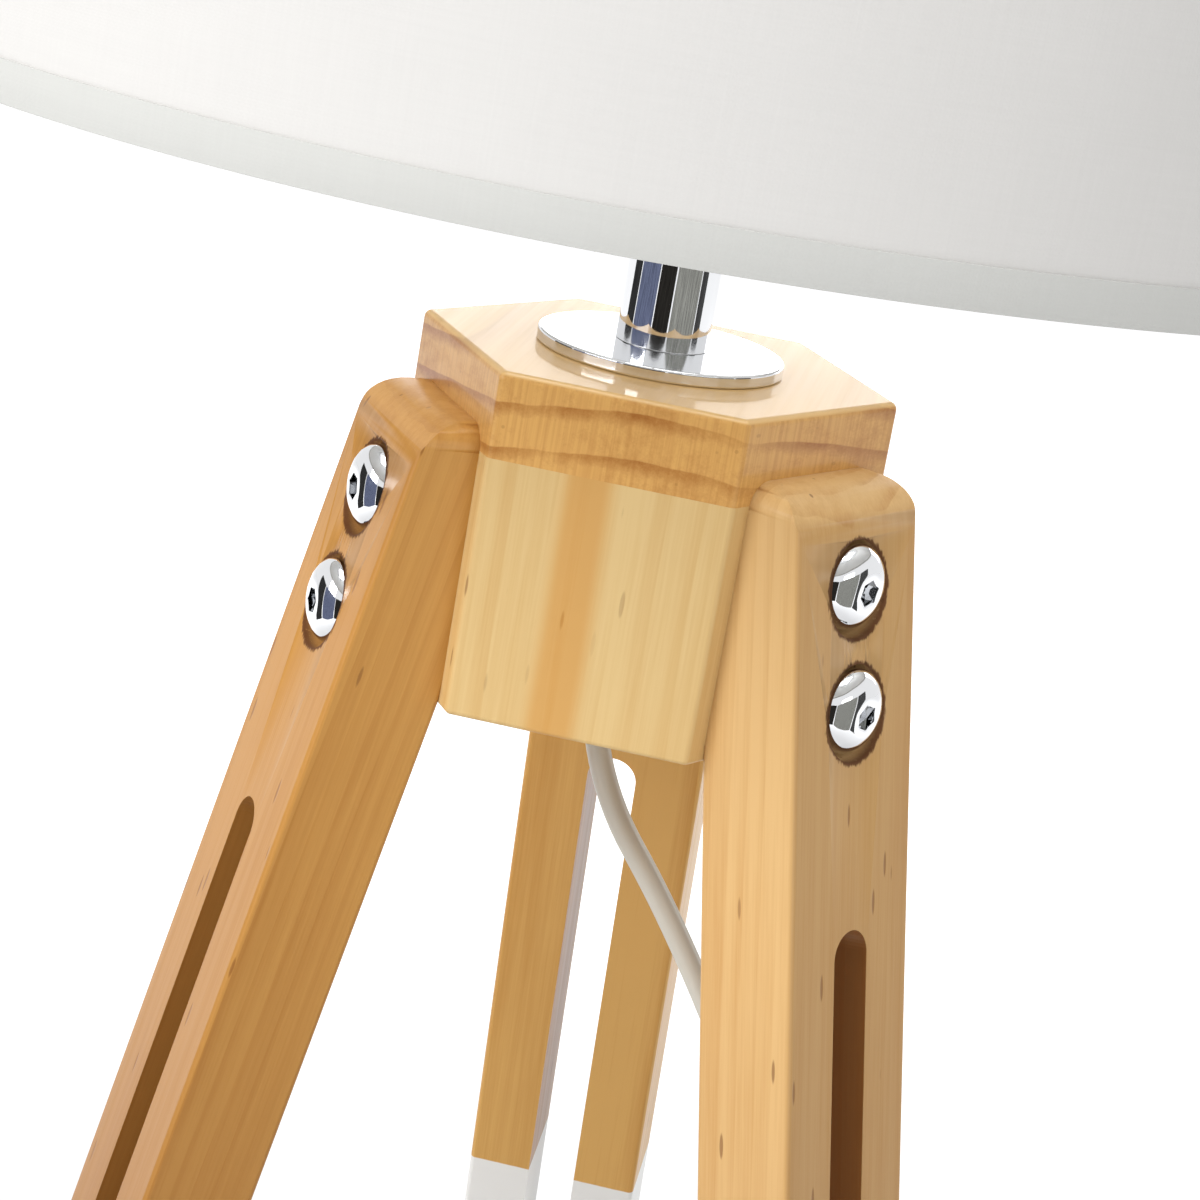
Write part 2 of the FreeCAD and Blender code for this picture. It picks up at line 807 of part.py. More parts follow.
def arm_azimuths():
    return [arm_first_azimuth + i * 360.0 / arm_count for i in range(arm_count)]


def make_shade_hub():
    return ring(hub_radius, hub_hole_radius, hub_bottom_z, hub_top_z)


def make_shade_bottom_ring():
    return Part.makeTorus(ring_radius, ring_wire_radius, Vector(0, 0, shade_bottom_z + ring_inset))


def make_shade_arms():
    """Wire arms, their ends shaped to the hub and the bottom ring that they are welded to."""
    arms = []
    for azimuth in arm_azimuths():
        start, end = arm_ends(azimuth)
        arm = rod_between(start, end, arm_wire_radius)
        arms.append(arm.cut(make_shade_hub()).cut(make_shade_bottom_ring()))
    return Part.makeCompound(arms)


def make_shade_top_ring():
    return Part.makeTorus(ring_radius, ring_wire_radius, Vector(0, 0, shade_top_z - ring_inset))


def hem_channel(edge_z, into):
    """Folded hem round the shade's edge; into is +1 for the bottom edge and -1 for the top."""
    t = hem_thickness
    deep = edge_z + into * hem_height
    return revolved([
        (hem_inner_radius, edge_z),
        (shade_radius, edge_z),
        (shade_radius, deep),
        (shade_radius - t, deep),
        (shade_radius - t, edge_z + into * t),
        (hem_inner_radius + t, edge_z + into * t),
        (hem_inner_radius + t, deep),
        (hem_inner_radius, deep),
    ])


def make_shade_bottom_hem():
    hem = hem_channel(shade_bottom_z, 1)
    for azimuth in arm_azimuths():
        start, end = arm_ends(azimuth)
        hem = hem.cut(rod_between(start, end, arm_wire_radius + 0.3))
    return hem


def make_shade_top_hem():
    return hem_channel(shade_top_z, -1)


# ---------------------------------------------------------------- cord
def route_radii(points):
    """Arc radius at every inner point of a route: 0.45 of the shorter run over tan(half turn)."""
    radii = []
    for before, here, after in zip(points, points[1:], points[2:]):
        shorter = min((here - before).Length, (after - here).Length)
        turn = (here - before).getAngle(after - here)
        radii.append(0.45 * shorter / math.tan(turn / 2.0))
    return radii


def route_wire(points):
    """Straight runs joined by tangent arcs."""
    edges = []
    last = points[0]
    for before, here, after in zip(points, points[1:], points[2:]):
        back = before - here
        ahead = after - here
        cut = 0.45 * min(back.Length, ahead.Length)
        back.normalize()
        ahead.normalize()
        half = back.getAngle(ahead) / 2.0
        radius = cut * math.tan(half)
        inward = back + ahead
        inward.normalize()
        middle = here + inward * (radius / math.sin(half) - radius)
        start = here + back * cut
        end = here + ahead * cut
        edges.append(line(last, start))
        edges.append(arc(start, middle, end))
        last = end
    edges.append(line(last, points[-1]))
    return Part.Wire(edges)


def tube_along(wire, direction, name):
    """Round tube of the cord's diameter along a wire, with its volume checked."""
    start = wire.OrderedVertexes[0].Point
    section = Part.Wire([Part.makeCircle(cord_radius, start, direction)])
    solid = Part.Solid(wire.makePipeShell([section], True, False))
    if solid.Volume < 0:
        solid.reverse()
    share = solid.Volume / (math.pi * cord_radius ** 2 * wire.Length)
    print("%s: length %.1f, volume / (section x length) = %.4f" % (name, wire.Length, share))
    return solid


def lead_route():
    """From the grip down to the floor and into the switch."""
    start = switch_end(-1)
    run = heading(switch_azimuth) * cord_lead_run_in
    route = [Vector(0, 0, cord_exit_z)]
    route += [Vector(x, y, cord_exit_z * share) for x, y, share in cord_hang_points]
    route += [Vector(x, y, cord_radius) for x, y in cord_lead_floor_points]
    return route + [start - run, start]


def mid_route():
    """From the switch round behind the lamp to the coil."""
    start = switch_end(1)
    end = coil_point(0)
    route = [start, start + heading(switch_azimuth) * cord_mid_run_out]
    route += [Vector(x, y, cord_radius) for x, y in cord_mid_floor_points]
    return route + [end - heading(coil_start_angle + 90.0) * cord_mid_run_in, end]


def tail_route():
    """From the coil's top to the plug, level at both ends."""
    azimuth = coil_start_angle + 180.0 * (len(coil_stations()) - 1) + 90.0
    here = coil_point(len(coil_stations()) - 1)
    drop = (here.z - plug_height / 2.0) / (cord_tail_turns - 1.0)
    route = [here]
    for index in range(cord_tail_turns + 1):
        level = index == 0 or index == cord_tail_turns
        here = here + heading(azimuth) * cord_tail_run - Vector(0, 0, 0.0 if level else drop)
        route.append(here)
        azimuth += cord_tail_turn
    return route


def make_cord(route, name):
    radii = route_radii(route)
    print("%s: arc radii %s" % (name, " ".join("%.0f" % r for r in radii)))
    return tube_along(route_wire(route), route[1] - route[0], name)


def tangent_arc(start, tangent, end):
    """Arc that leaves start along a unit tangent and reaches end."""
    chord = end - start
    unit = Vector(chord)
    unit.normalize()
    bulge = tangent - unit * tangent.dot(unit)
    bulge.normalize()
    swing = tangent.getAngle(unit)
    middle = start + chord * 0.5 + bulge * (chord.Length / 2.0 * math.tan(swing / 2.0))
    return arc(start, middle, end)


def half_turn(start, tangent, end):
    """Two tangent arcs from start to end, where the direction is reversed."""
    chord = end - start
    reach = chord.Length / 2.0
    middle = (start + end) * 0.5 + tangent * reach
    across = Vector(chord)
    across.normalize()
    return [tangent_arc(start, tangent, middle), tangent_arc(middle, across, end)]


def coil_stations():
    """Radius and height at every half turn: in on the floor layer, out again on top of it."""
    n = coil_half_turns_each_layer
    low = coil_low_z
    high = coil_low_z + coil_layer_rise
    stations = [(coil_outer_radius - i * coil_pitch / 2.0, low) for i in range(n + 1)]
    stations += [(coil_inner_radius + i * coil_pitch / 2.0, high) for i in range(n + 1)]
    return stations


def coil_point(index):
    radius, z = coil_stations()[index]
    return Vector(coil_centre[0], coil_centre[1], 0) + polar(radius, coil_start_angle + 180.0 * index, z)


def coil_wire():
    edges = []
    for index in range(len(coil_stations()) - 1):
        tangent = heading(coil_start_angle + 180.0 * index + 90.0)
        edges += half_turn(coil_point(index), tangent, coil_point(index + 1))
    return Part.Wire(edges)


def least_self_gap(wire, skip):
    """Least clear distance between stretches of a wire more than skip apart along it."""
    step = 2.0
    points = wire.discretize(Distance=step)
    apart = int(skip / step)
    least = wire.Length
    for i, p in enumerate(points):
        for q in points[i + apart:]:
            least = min(least, (p - q).Length)
    return least - cord_diameter


def make_cord_coil():
    wire = coil_wire()
    turn = 2.0 * math.pi * coil_inner_radius
    print("cord_coil: least gap to itself %.2f" % least_self_gap(wire, turn * 0.5))
    print("cord_coil: inner turn radius %.1f, outer %.1f" % (coil_inner_radius, coil_outer_radius))
    return tube_along(wire, heading(coil_start_angle + 90.0), "cord_coil")


def make_coil_tie():
    """Strap round the bundle of turns, flat on the floor."""
    gap = tie_gap
    t = tie_thickness
    inner_x = coil_inner_radius - cord_radius - gap
    outer_x = coil_outer_radius + cord_radius + gap
    top = coil_low_z + coil_layer_rise + cord_radius + gap
    low = t
    loop = Part.makeBox(outer_x - inner_x + 2 * t, tie_width, top + t,
                        Vector(inner_x - t, -tie_width / 2.0, 0))
    hole = Part.makeBox(outer_x - inner_x, tie_width + 2.0, top - low,
                        Vector(inner_x, -tie_width / 2.0 - 1.0, low))
    strap = turned(loop.cut(hole), tie_azimuth)
    strap.translate(Vector(coil_centre[0], coil_centre[1], 0))
    return strap


# ---------------------------------------------------------------- inline switch
def switch_placement(shape):
    placed = turned(shape, switch_azimuth)
    placed.translate(Vector(switch_centre[0], switch_centre[1], 0))
    return placed


def switch_end(side):
    """Where the cord meets the switch: -1 for the lamp's side, 1 for the plug's."""
    middle = Vector(switch_centre[0], switch_centre[1], switch_cord_z)
    return middle + heading(switch_azimuth) * (side * switch_length / 2.0)


def switch_screw_spots():
    x, y = switch_screw_place
    return [(x, -y), (-x, y)]


def switch_shell(bottom, top, cavity_bottom, cavity_top):
    body = rounded_rectangle(switch_length, switch_width, switch_corner_round, Vector(0, 0, bottom))
    inside = rounded_rectangle(switch_length - 2 * switch_wall, switch_width - 2 * switch_wall,
                               switch_corner_round - switch_wall, Vector(0, 0, cavity_bottom))
    return (body.extrude(Vector(0, 0, top - bottom)),
            inside.extrude(Vector(0, 0, cavity_top - cavity_bottom)))


def make_switch_base():
    body, inside = switch_shell(0.0, switch_split_z, switch_wall, switch_split_z + 1.0)
    shape = body.cut(inside)
    for x, y in switch_screw_spots():
        post = Part.makeCylinder(switch_post_radius, switch_split_z, Vector(x, y, 0))
        recess = Part.makeCylinder(switch_screw_head_radius + 0.1, switch_screw_head_height + 0.4,
                                   Vector(x, y, 0))
        hole = Part.makeCylinder(switch_screw_radius + 0.1, switch_split_z, Vector(x, y, 0))
        shape = shape.fuse(post).cut(recess.fuse(hole))
    return switch_placement(shape)


def rocker_opening():
    half = rocker_half_length + rocker_end_gap
    width = rocker_width + 2 * rocker_side_gap
    return Part.makeBox(2 * half, width, switch_height, Vector(-half, -width / 2.0, switch_split_z + 1.0))


def pivot_bosses():
    """Small ears under the cover that carry the rocker's pins."""
    inner = rocker_width / 2.0 + rocker_side_gap
    size = pivot_boss_size
    top = switch_height - switch_wall
    ears = []
    for side in (-1, 1):
        y = inner if side > 0 else -inner - 2.0
        ears.append(Part.makeBox(size, 2.0, top - rocker_pivot_z + size / 2.0,
                                 Vector(-size / 2.0, y, rocker_pivot_z - size / 2.0)))
    bore = Part.makeCylinder(rocker_pin_radius + rocker_pin_gap, 2 * inner + 6.0,
                             Vector(0, -inner - 3.0, rocker_pivot_z), Vector(0, 1, 0))
    return ears, bore


def make_switch_cover():
    body, inside = switch_shell(switch_split_z, switch_height, switch_split_z - 1.0,
                                switch_height - switch_wall)
    body = body.makeFillet(switch_top_round, edges_at_height(body, switch_height))
    shape = body.cut(inside).cut(rocker_opening())
    ears, bore = pivot_bosses()
    for ear in ears:
        shape = shape.fuse(ear)
    depth = switch_height - switch_wall - switch_split_z
    for x, y in switch_screw_spots():
        foot = Vector(x, y, switch_split_z)
        post = Part.makeCylinder(switch_post_radius, depth + 0.5, foot)
        pilot = Part.makeCylinder(switch_screw_radius + 0.1, depth - 0.5, foot)
        shape = shape.fuse(post).cut(pilot)
    return switch_placement(shape.cut(bore))


def make_switch_rocker():
    """Rocker resting on its first stop, with its end towards the plug pressed down."""
    top = switch_height - rocker_pivot_z + 1.0
    waist = top - 1.2
    a = rocker_top_half_length
    b = rocker_half_length
    outline = [(-a, top), (0.0, waist), (a, top), (b, 0.0), (0.0, -3.0), (-b, 0.0)]
    points = [Vector(x, -rocker_width / 2.0, rocker_pivot_z + z) for x, z in outline]
    shape = prism(points, Vector(0, rocker_width, 0))
    reach = rocker_width + 2 * (rocker_side_gap + rocker_pin_length)
    pin_end = Vector(0, -reach / 2.0, rocker_pivot_z)
    pin = Part.makeCylinder(rocker_pin_radius, reach, pin_end, Vector(0, 1, 0))
    shape = shape.fuse(pin)
    shape.rotate(Vector(0, 0, rocker_pivot_z), Vector(0, 1, 0), rocker_tilt)
    return switch_placement(shape)


def make_switch_screws():
    screws = []
    for x, y in switch_screw_spots():
        head_z = 0.3
        head = Part.makeCylinder(switch_screw_head_radius, switch_screw_head_height, Vector(x, y, head_z))
        slot = Part.makeBox(3.2, 0.6, 0.5, Vector(x - 1.6, y - 0.3, head_z))
        shank = Part.makeCylinder(switch_screw_radius, switch_height - switch_wall - 2.0 - head_z,
                                  Vector(x, y, head_z))
        screws.append(switch_placement(head.cut(slot).fuse(shank.cut(slot))))
    return Part.makeCompound(screws)


def make_switch_terminals():
    """Two terminal blocks, each on the side that the cover's screw leaves free."""
    length, width, height = terminal_size
    x, y = terminal_place
    blocks = []
    for side in (-1, 1):
        corner = Vector(side * x - length / 2.0, side * y - width / 2.0, switch_wall)
        blocks.append(switch_placement(Part.makeBox(length, width, height, corner)))
    return Part.makeCompound(blocks)


# ---------------------------------------------------------------- plug
def plug_placement(shape):
    """Set a plug piece, built along +X from the cord's end, at the end of the tail."""
    before, end = tail_route()[-2:]
    azimuth = math.degrees(math.atan2(end.y - before.y, end.x - before.x))
    placed = turned(shape, azimuth)
    placed.translate(end)
    return placed


def make_plug_body():
    low = -plug_height / 2.0
    back = plug_sleeve_length
    face = back + plug_body_length
    wide = plug_width / 2.0
    neck = plug_neck_width / 2.0
    waist = face - plug_face_length
    outline = [(back, -neck), (waist, -wide), (face, -wide), (face, wide), (waist, wide), (back, neck)]
    body = prism([Vector(x, y, low) for x, y in outline], Vector(0, 0, plug_height))
    long_edges = edges_at_height(body, low) + edges_at_height(body, -low)
    rounded = [e for e in long_edges if e.BoundBox.XMin < face - 1e-6]
    body = body.makeFillet(plug_edge_round, rounded)
    sleeve = Part.makeCone(plug_sleeve_end_radius, plug_sleeve_root_radius, plug_sleeve_length + 2.0,
                           ORIGIN, Vector(1, 0, 0))
    body = body.fuse(sleeve)
    for side in (-1, 1):
        pocket = Part.makeCylinder(plug_pin_shank_radius + plug_pin_gap, plug_pin_root + 1.0,
                                   Vector(face - plug_pin_root, side * plug_pin_spacing / 2.0, 0),
                                   Vector(1, 0, 0))
        body = body.cut(pocket)
    return plug_placement(body)


def make_plug_pins():
    """Two pins, each a narrow shank held in the body and a full-width rounded rod past it."""
    face = plug_sleeve_length + plug_body_length
    pins = []
    for side in (-1, 1):
        y = side * plug_pin_spacing / 2.0
        rod = Part.makeCylinder(plug_pin_radius, plug_pin_length - plug_pin_neck,
                                Vector(face + plug_pin_neck, y, 0), Vector(1, 0, 0))
        end = [e for e in rod.Edges if e.BoundBox.XMin > face + plug_pin_length - 1e-3]
        rod = rod.makeFillet(plug_pin_radius * 0.6, end)
        shank = Part.makeCylinder(plug_pin_shank_radius, plug_pin_neck + plug_pin_root + 1.0,
                                  Vector(face - plug_pin_root, y, 0), Vector(1, 0, 0))
        pins.append(plug_placement(rod.fuse(shank)))
    return Part.makeCompound(pins)


# ---------------------------------------------------------------- the whole lamp
def all_nodes():
    leg = make_leg()
    nodes = {name: turned(leg, azimuth) for name, azimuth in zip(leg_names, leg_azimuths)}
    nodes.update({
        "foot_pads": make_foot_pads(),
        "cap_plate": make_cap_plate(),
        "head_block": make_head_block(),
        "leg_bolts": at_bolts(placed_bolt),
        "threaded_inserts": at_bolts(placed_insert),
        "flange_disc": make_flange_disc(),
        "chrome_tube": make_tube(),
        "threaded_rod": make_rod(),
        "rod_washer": make_rod_washer(),
        "rod_nuts": make_rod_nuts(),
        "cord_grip": make_cord_grip(),
        "inner_cord": make_inner_cord(),
        "holder_base": make_holder_base(),
        "holder_sleeve": make_holder_sleeve(),
        "socket_core": make_socket_core(),
        "socket_shell": make_socket_shell(),
        "centre_contact": make_centre_contact(),
        "clamp_washer": make_clamp_washer(),
        "clamp_ring": make_clamp_ring(),
        "bulb_tip": make_bulb_tip(),
        "bulb_insulator": make_bulb_insulator(),
        "bulb_cap": make_bulb_cap(),
        "bulb_collar": make_bulb_collar(),
        "led_board": make_led_board(),
        "bulb_globe": make_bulb_globe(),
        "shade_fabric": make_shade_fabric(),
        "shade_liner": make_shade_liner(),
        "shade_hub": make_shade_hub(),
        "shade_arms": make_shade_arms(),
        "shade_bottom_ring": make_shade_bottom_ring(),
        "shade_top_ring": make_shade_top_ring(),
        "shade_bottom_hem": make_shade_bottom_hem(),
        "shade_top_hem": make_shade_top_hem(),
        "cord_lead": make_cord(lead_route(), "cord_lead"),
        "switch_base": make_switch_base(),
        "switch_cover": make_switch_cover(),
        "switch_rocker": make_switch_rocker(),
        "switch_screws": make_switch_screws(),
        "switch_terminals": make_switch_terminals(),
        "cord_mid": make_cord(mid_route(), "cord_mid"),
        "cord_coil": make_cord_coil(),
        "coil_tie": make_coil_tie(),
        "cord_tail": make_cord(tail_route(), "cord_tail"),
        "plug_body": make_plug_body(),
        "plug_pins": make_plug_pins(),
    })
    return nodes


def main():
    os.makedirs("parts", exist_ok=True)
    for name, shape in all_nodes().items():
        shape.exportStep("parts/%s.step" % name)
        facts = (name, len(shape.Solids), shape.isValid(), shape.Volume)
        print("%-18s solids %d valid %s volume %.0f" % facts)


main()
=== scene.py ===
import math

import bmesh
import bpy
from mathutils import Matrix, Vector


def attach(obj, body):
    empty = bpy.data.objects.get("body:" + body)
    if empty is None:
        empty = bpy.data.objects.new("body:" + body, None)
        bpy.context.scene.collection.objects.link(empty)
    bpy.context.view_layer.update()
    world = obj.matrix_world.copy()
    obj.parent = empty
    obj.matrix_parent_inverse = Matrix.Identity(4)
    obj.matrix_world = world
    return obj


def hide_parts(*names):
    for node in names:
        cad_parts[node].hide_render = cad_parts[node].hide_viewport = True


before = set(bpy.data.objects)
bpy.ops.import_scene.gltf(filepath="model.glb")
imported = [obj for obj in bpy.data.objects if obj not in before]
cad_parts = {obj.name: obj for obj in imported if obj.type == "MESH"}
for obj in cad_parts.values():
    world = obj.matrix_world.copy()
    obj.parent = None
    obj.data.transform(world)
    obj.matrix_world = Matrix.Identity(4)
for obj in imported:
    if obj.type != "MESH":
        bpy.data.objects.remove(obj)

MM = 0.001
TURN = 2 * math.pi
FINE = 192
ON_AXIS = 1e-6
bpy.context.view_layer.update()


# ------------------------------------------------------------------ sizes of the lamp, in mm
HEAD_TOP = 357.0
CAP_BOTTOM = 342.5
BLOCK_BOTTOM = 298.0
LEG_FACE = 35.796
LEG_THICK = 19.0
LEG_SPLAY = math.radians(11.7)
LEG_AZIMUTHS = {"leg_right": -30.0, "leg_back": 90.0, "leg_left": 210.0}
LEG_MIDDLE = LEG_FACE + LEG_THICK / math.cos(LEG_SPLAY) / 2.0
DIP_LINE = 125.7
SLOT_LINE = 18.0
SLOT_HALF = 4.76
PAD_R = 7.0
PAD_HIGH = 2.0

BOLT_HEIGHTS = (330.3, 310.0)
COUNTERBORE = 8.15
COUNTERBORE_DEPTH = 5.0
BOLT_HEAD = [(6.9, 0), (7.35, 0.5), (7.4, 1.4), (7.05, 2.5), (6.2, 3.55), (5.0, 4.35), (3.7, 4.85),
             (2.75, 5.0)]
BOLT_RAISE = 2.3
SOCKET_HALF = 2.0
SOCKET_DEPTH = 2.2

FLANGE_TOP = 359.3
FLANGE_R = 21.3
TUBE_R = 8.0
HOLDER_BOTTOM = 420.0
SLEEVE_BOTTOM = 446.0
SLEEVE_TOP = 478.0
SHOULDER_TOP = 448.0
HOLDER_R = 19.25
HOLDER_BORE = 17.25
BULB_CAP_R = 13.05
BULB_CAP_BOTTOM = 445.0
BULB_CAP_TOP = 467.0

SHADE_BOTTOM = 400.0
SHADE_TOP = 600.0
SHADE_R = 150.0
FABRIC_R = 149.5
FABRIC_BOTTOM = 400.55
FABRIC_TOP = 599.45
RING_R = 147.05
WIRE_R = 1.5
HEM_HIGH = 6.0

CORD_EXIT = (0.0, 0.0, 290.7)


# ------------------------------------------------------------------ meshes
def around(count):
    return [TURN * k / count for k in range(count)]


def about_z(degrees):
    return Matrix.Rotation(math.radians(degrees), 4, "Z")


def placed(name, data):
    """A new object in the scene for a mesh, curve, camera or light."""
    thing = bpy.data.objects.new(name, data)
    bpy.context.scene.collection.objects.link(thing)
    return thing


def finished(name, mesh, body, material, slot, *nodes, sharp=32.0, weighted=False):
    """Show a mesh as a piece that rides on a body and stands for its CAD nodes."""
    mesh.shade_smooth()
    mesh.set_sharp_from_angle(angle=math.radians(sharp))
    mesh.materials.clear()
    mesh.materials.append(material)
    piece = placed(name, mesh)
    if weighted:
        normals = piece.modifiers.new("flat_faces", "WEIGHTED_NORMAL")
        normals.keep_sharp = True
        normals.weight = 80
    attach(piece, body)
    if nodes:
        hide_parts(*nodes)
    return piece


def from_bmesh(name, bm):
    mesh = bpy.data.meshes.new(name)
    bm.to_mesh(mesh)
    bm.free()
    return mesh


def closed_mesh(name, bm):
    """A built solid's mesh, with its faces turned outwards."""
    bmesh.ops.recalc_face_normals(bm, faces=bm.faces)
    return from_bmesh(name, bm)


def soften(corners, radius, steps=3):
    """Closed (r, z) outline with its corners rounded, except on the axis and where it hardly bends."""
    out = []
    for i, corner in enumerate(corners):
        here = Vector(corner)
        back = Vector(corners[i - 1]) - here
        ahead = Vector(corners[(i + 1) % len(corners)]) - here
        if here.x < ON_AXIS or back.angle(ahead) > math.radians(165):
            out.append(corner)
            continue
        cut = min(radius, 0.45 * back.length, 0.45 * ahead.length)
        a = here + back.normalized() * cut
        b = here + ahead.normalized() * cut
        for k in range(steps + 1):
            t = k / steps
            out.append(tuple(a * (1 - t) ** 2 + here * 2 * t * (1 - t) + b * t ** 2))
    return out


def turned_mesh(name, outline, segments=FINE, wobble=None):
    """Closed (r, z) outline turned round the lamp's axis. UV: length round, length along, in metres."""
    bm = bmesh.new()
    uv = bm.loops.layers.uv.new("around")
    rings = []
    for r, z in outline:
        if r < ON_AXIS:
            rings.append([bm.verts.new((0, 0, z * MM))])
            continue
        ring = []
        for angle in around(segments):
            reach = (r + (wobble(angle, r, z) if wobble else 0.0)) * MM
            ring.append(bm.verts.new((reach * math.cos(angle), reach * math.sin(angle), z * MM)))
        rings.append(ring)
    along = [0.0]
    for (r0, z0), (r1, z1) in zip(outline, outline[1:] + outline[:1]):
        along.append(along[-1] + math.hypot(r1 - r0, z1 - z0) * MM)
    step = TURN * max(r for r, z in outline) * MM / segments
    for i, low in enumerate(rings):
        high = rings[(i + 1) % len(rings)]
        if len(low) == len(high) == 1:
            continue
        for s in range(segments):
            t = (s + 1) % segments
            corners = [(low[s % len(low)], s, i), (low[t % len(low)], s + 1, i),
                       (high[t % len(high)], s + 1, i + 1), (high[s % len(high)], s, i + 1)]
            if len(low) == 1:
                del corners[1]
            elif len(high) == 1:
                del corners[2]
            face = bm.faces.new([vert for vert, column, row in corners])
            for loop, (vert, column, row) in zip(face.loops, corners):
                loop[uv].uv = (step * column, along[row])
    return closed_mesh(name, bm)


def merged_copy(node, name):
    """The CAD node's mesh with its loose triangles joined."""
    bm = bmesh.new()
    bm.from_mesh(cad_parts[node].data)
    bmesh.ops.remove_doubles(bm, verts=bm.verts, dist=2e-6)
    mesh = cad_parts[node].data.copy()
    mesh.name = name
    bm.to_mesh(mesh)
    bm.free()
    return mesh


def dressed(node, name, body, material, slot, sharp=32.0):
    """A CAD node shown with joined, smoothly shaded faces."""
    return finished(name, merged_copy(node, name), body, material, slot, node, sharp=sharp, weighted=True)


def joined(name, meshes):
    bm = bmesh.new()
    for mesh in meshes:
        bm.from_mesh(mesh)
        bpy.data.meshes.remove(mesh)
    return from_bmesh(name, bm)


def evaluated_mesh(holder):
    """What an object's modifiers or curve make of it, as a plain mesh; the object itself goes."""
    bpy.context.view_layer.update()
    mesh = bpy.data.meshes.new_from_object(holder.evaluated_get(bpy.context.evaluated_depsgraph_get()))
    bpy.data.objects.remove(holder)
    return mesh


# ------------------------------------------------------------------ shader helpers
def add(tree, kind, **settings):
    node = tree.nodes.new(kind)
    for key, value in settings.items():
        setattr(node, key, value)
    return node


def link(tree, value, socket):
    """Link an output to a socket, or set the socket where the value is a plain one."""
    if isinstance(value, bpy.types.NodeSocket):
        tree.links.new(value, socket)
    elif value is not None:
        socket.default_value = value


def feed(tree, node, **inputs):
    """Set or link a node's inputs; names use _ for a space, and i with a digit picks by index."""
    for key, value in inputs.items():
        by_index = key[0] == "i" and key[1:].isdigit()
        link(tree, value, node.inputs[int(key[1:]) if by_index else key.replace("_", " ")])
    return node


def maths(tree, operation, a, b=None, clamp=False):
    node = add(tree, "ShaderNodeMath", operation=operation, use_clamp=clamp)
    return feed(tree, node, i0=a, i1=b).outputs[0]


def added(tree, total, *others, clamp=False):
    """The sum of all; clamp holds it between 0 and 1."""
    for count, other in enumerate(others, 1):
        total = maths(tree, "ADD", total, other, clamp=clamp and count == len(others))
    return total


def times(tree, product, *others):
    for other in others:
        product = maths(tree, "MULTIPLY", product, other)
    return product


def swing(tree, value, middle, size):
    """How far a value lies from its middle, times a size."""
    return times(tree, maths(tree, "SUBTRACT", value, middle), size)


def distance(tree, a, b):
    return maths(tree, "SQRT", added(tree, times(tree, a, a), times(tree, b, b)))


def vector(tree, operation, a, b=None, scale=None):
    node = add(tree, "ShaderNodeVectorMath", operation=operation)
    feed(tree, node, i0=a, i1=b)
    if scale is not None:
        feed(tree, node, Scale=scale)
    return node.outputs["Value" if operation == "LENGTH" else "Vector"]


def stretched(tree, coordinates, sx, sy, sz):
    return vector(tree, "MULTIPLY", coordinates, (sx, sy, sz))


def axes(tree, coordinates):
    return feed(tree, add(tree, "ShaderNodeSeparateXYZ"), i0=coordinates).outputs


def mix(tree, factor, a, b):
    node = add(tree, "ShaderNodeMix", data_type="RGBA")
    return feed(tree, node, i0=factor, i6=a, i7=b).outputs[2]


def noise(tree, coordinates, scale, detail=3.0, rough=0.5, distortion=0.0):
    node = add(tree, "ShaderNodeTexNoise")
    feed(tree, node, Vector=coordinates, Scale=scale, Detail=detail, Roughness=rough, Distortion=distortion)
    return node.outputs[0]


def streaky(tree, coordinates, across, along, detail=2.0, rough=0.5):
    """Noise drawn out along Z: how many waves in a metre across the grain, and along it."""
    return noise(tree, stretched(tree, coordinates, across, across, along), 1.0, detail, rough)


def spread(tree, value, low, high, to_low=0.0, to_high=1.0):
    """Map a range onto another, clamped and eased."""
    node = add(tree, "ShaderNodeMapRange", interpolation_type="SMOOTHSTEP")
    return feed(tree, node, Value=value, i1=low, i2=high, i3=to_low, i4=to_high).outputs[0]


def group(name, inputs, outputs):
    tree = bpy.data.node_groups.new(name, "ShaderNodeTree")
    for label, kind, value in inputs:
        socket = tree.interface.new_socket(name=label, in_out="INPUT", socket_type="NodeSocket" + kind)
        if value is not None:
            socket.default_value = value
    for label, kind in outputs:
        tree.interface.new_socket(name=label, in_out="OUTPUT", socket_type="NodeSocket" + kind)
    return tree, add(tree, "NodeGroupInput").outputs, add(tree, "NodeGroupOutput")


def rgb(red, green, blue):
    """A display colour from 0 to 255 as the linear colour that the shader takes."""
    def linear(v):
        v /= 255.0
        return v / 12.92 if v <= 0.04045 else ((v + 0.055) / 1.055) ** 2.4
    return (linear(red), linear(green), linear(blue), 1.0)


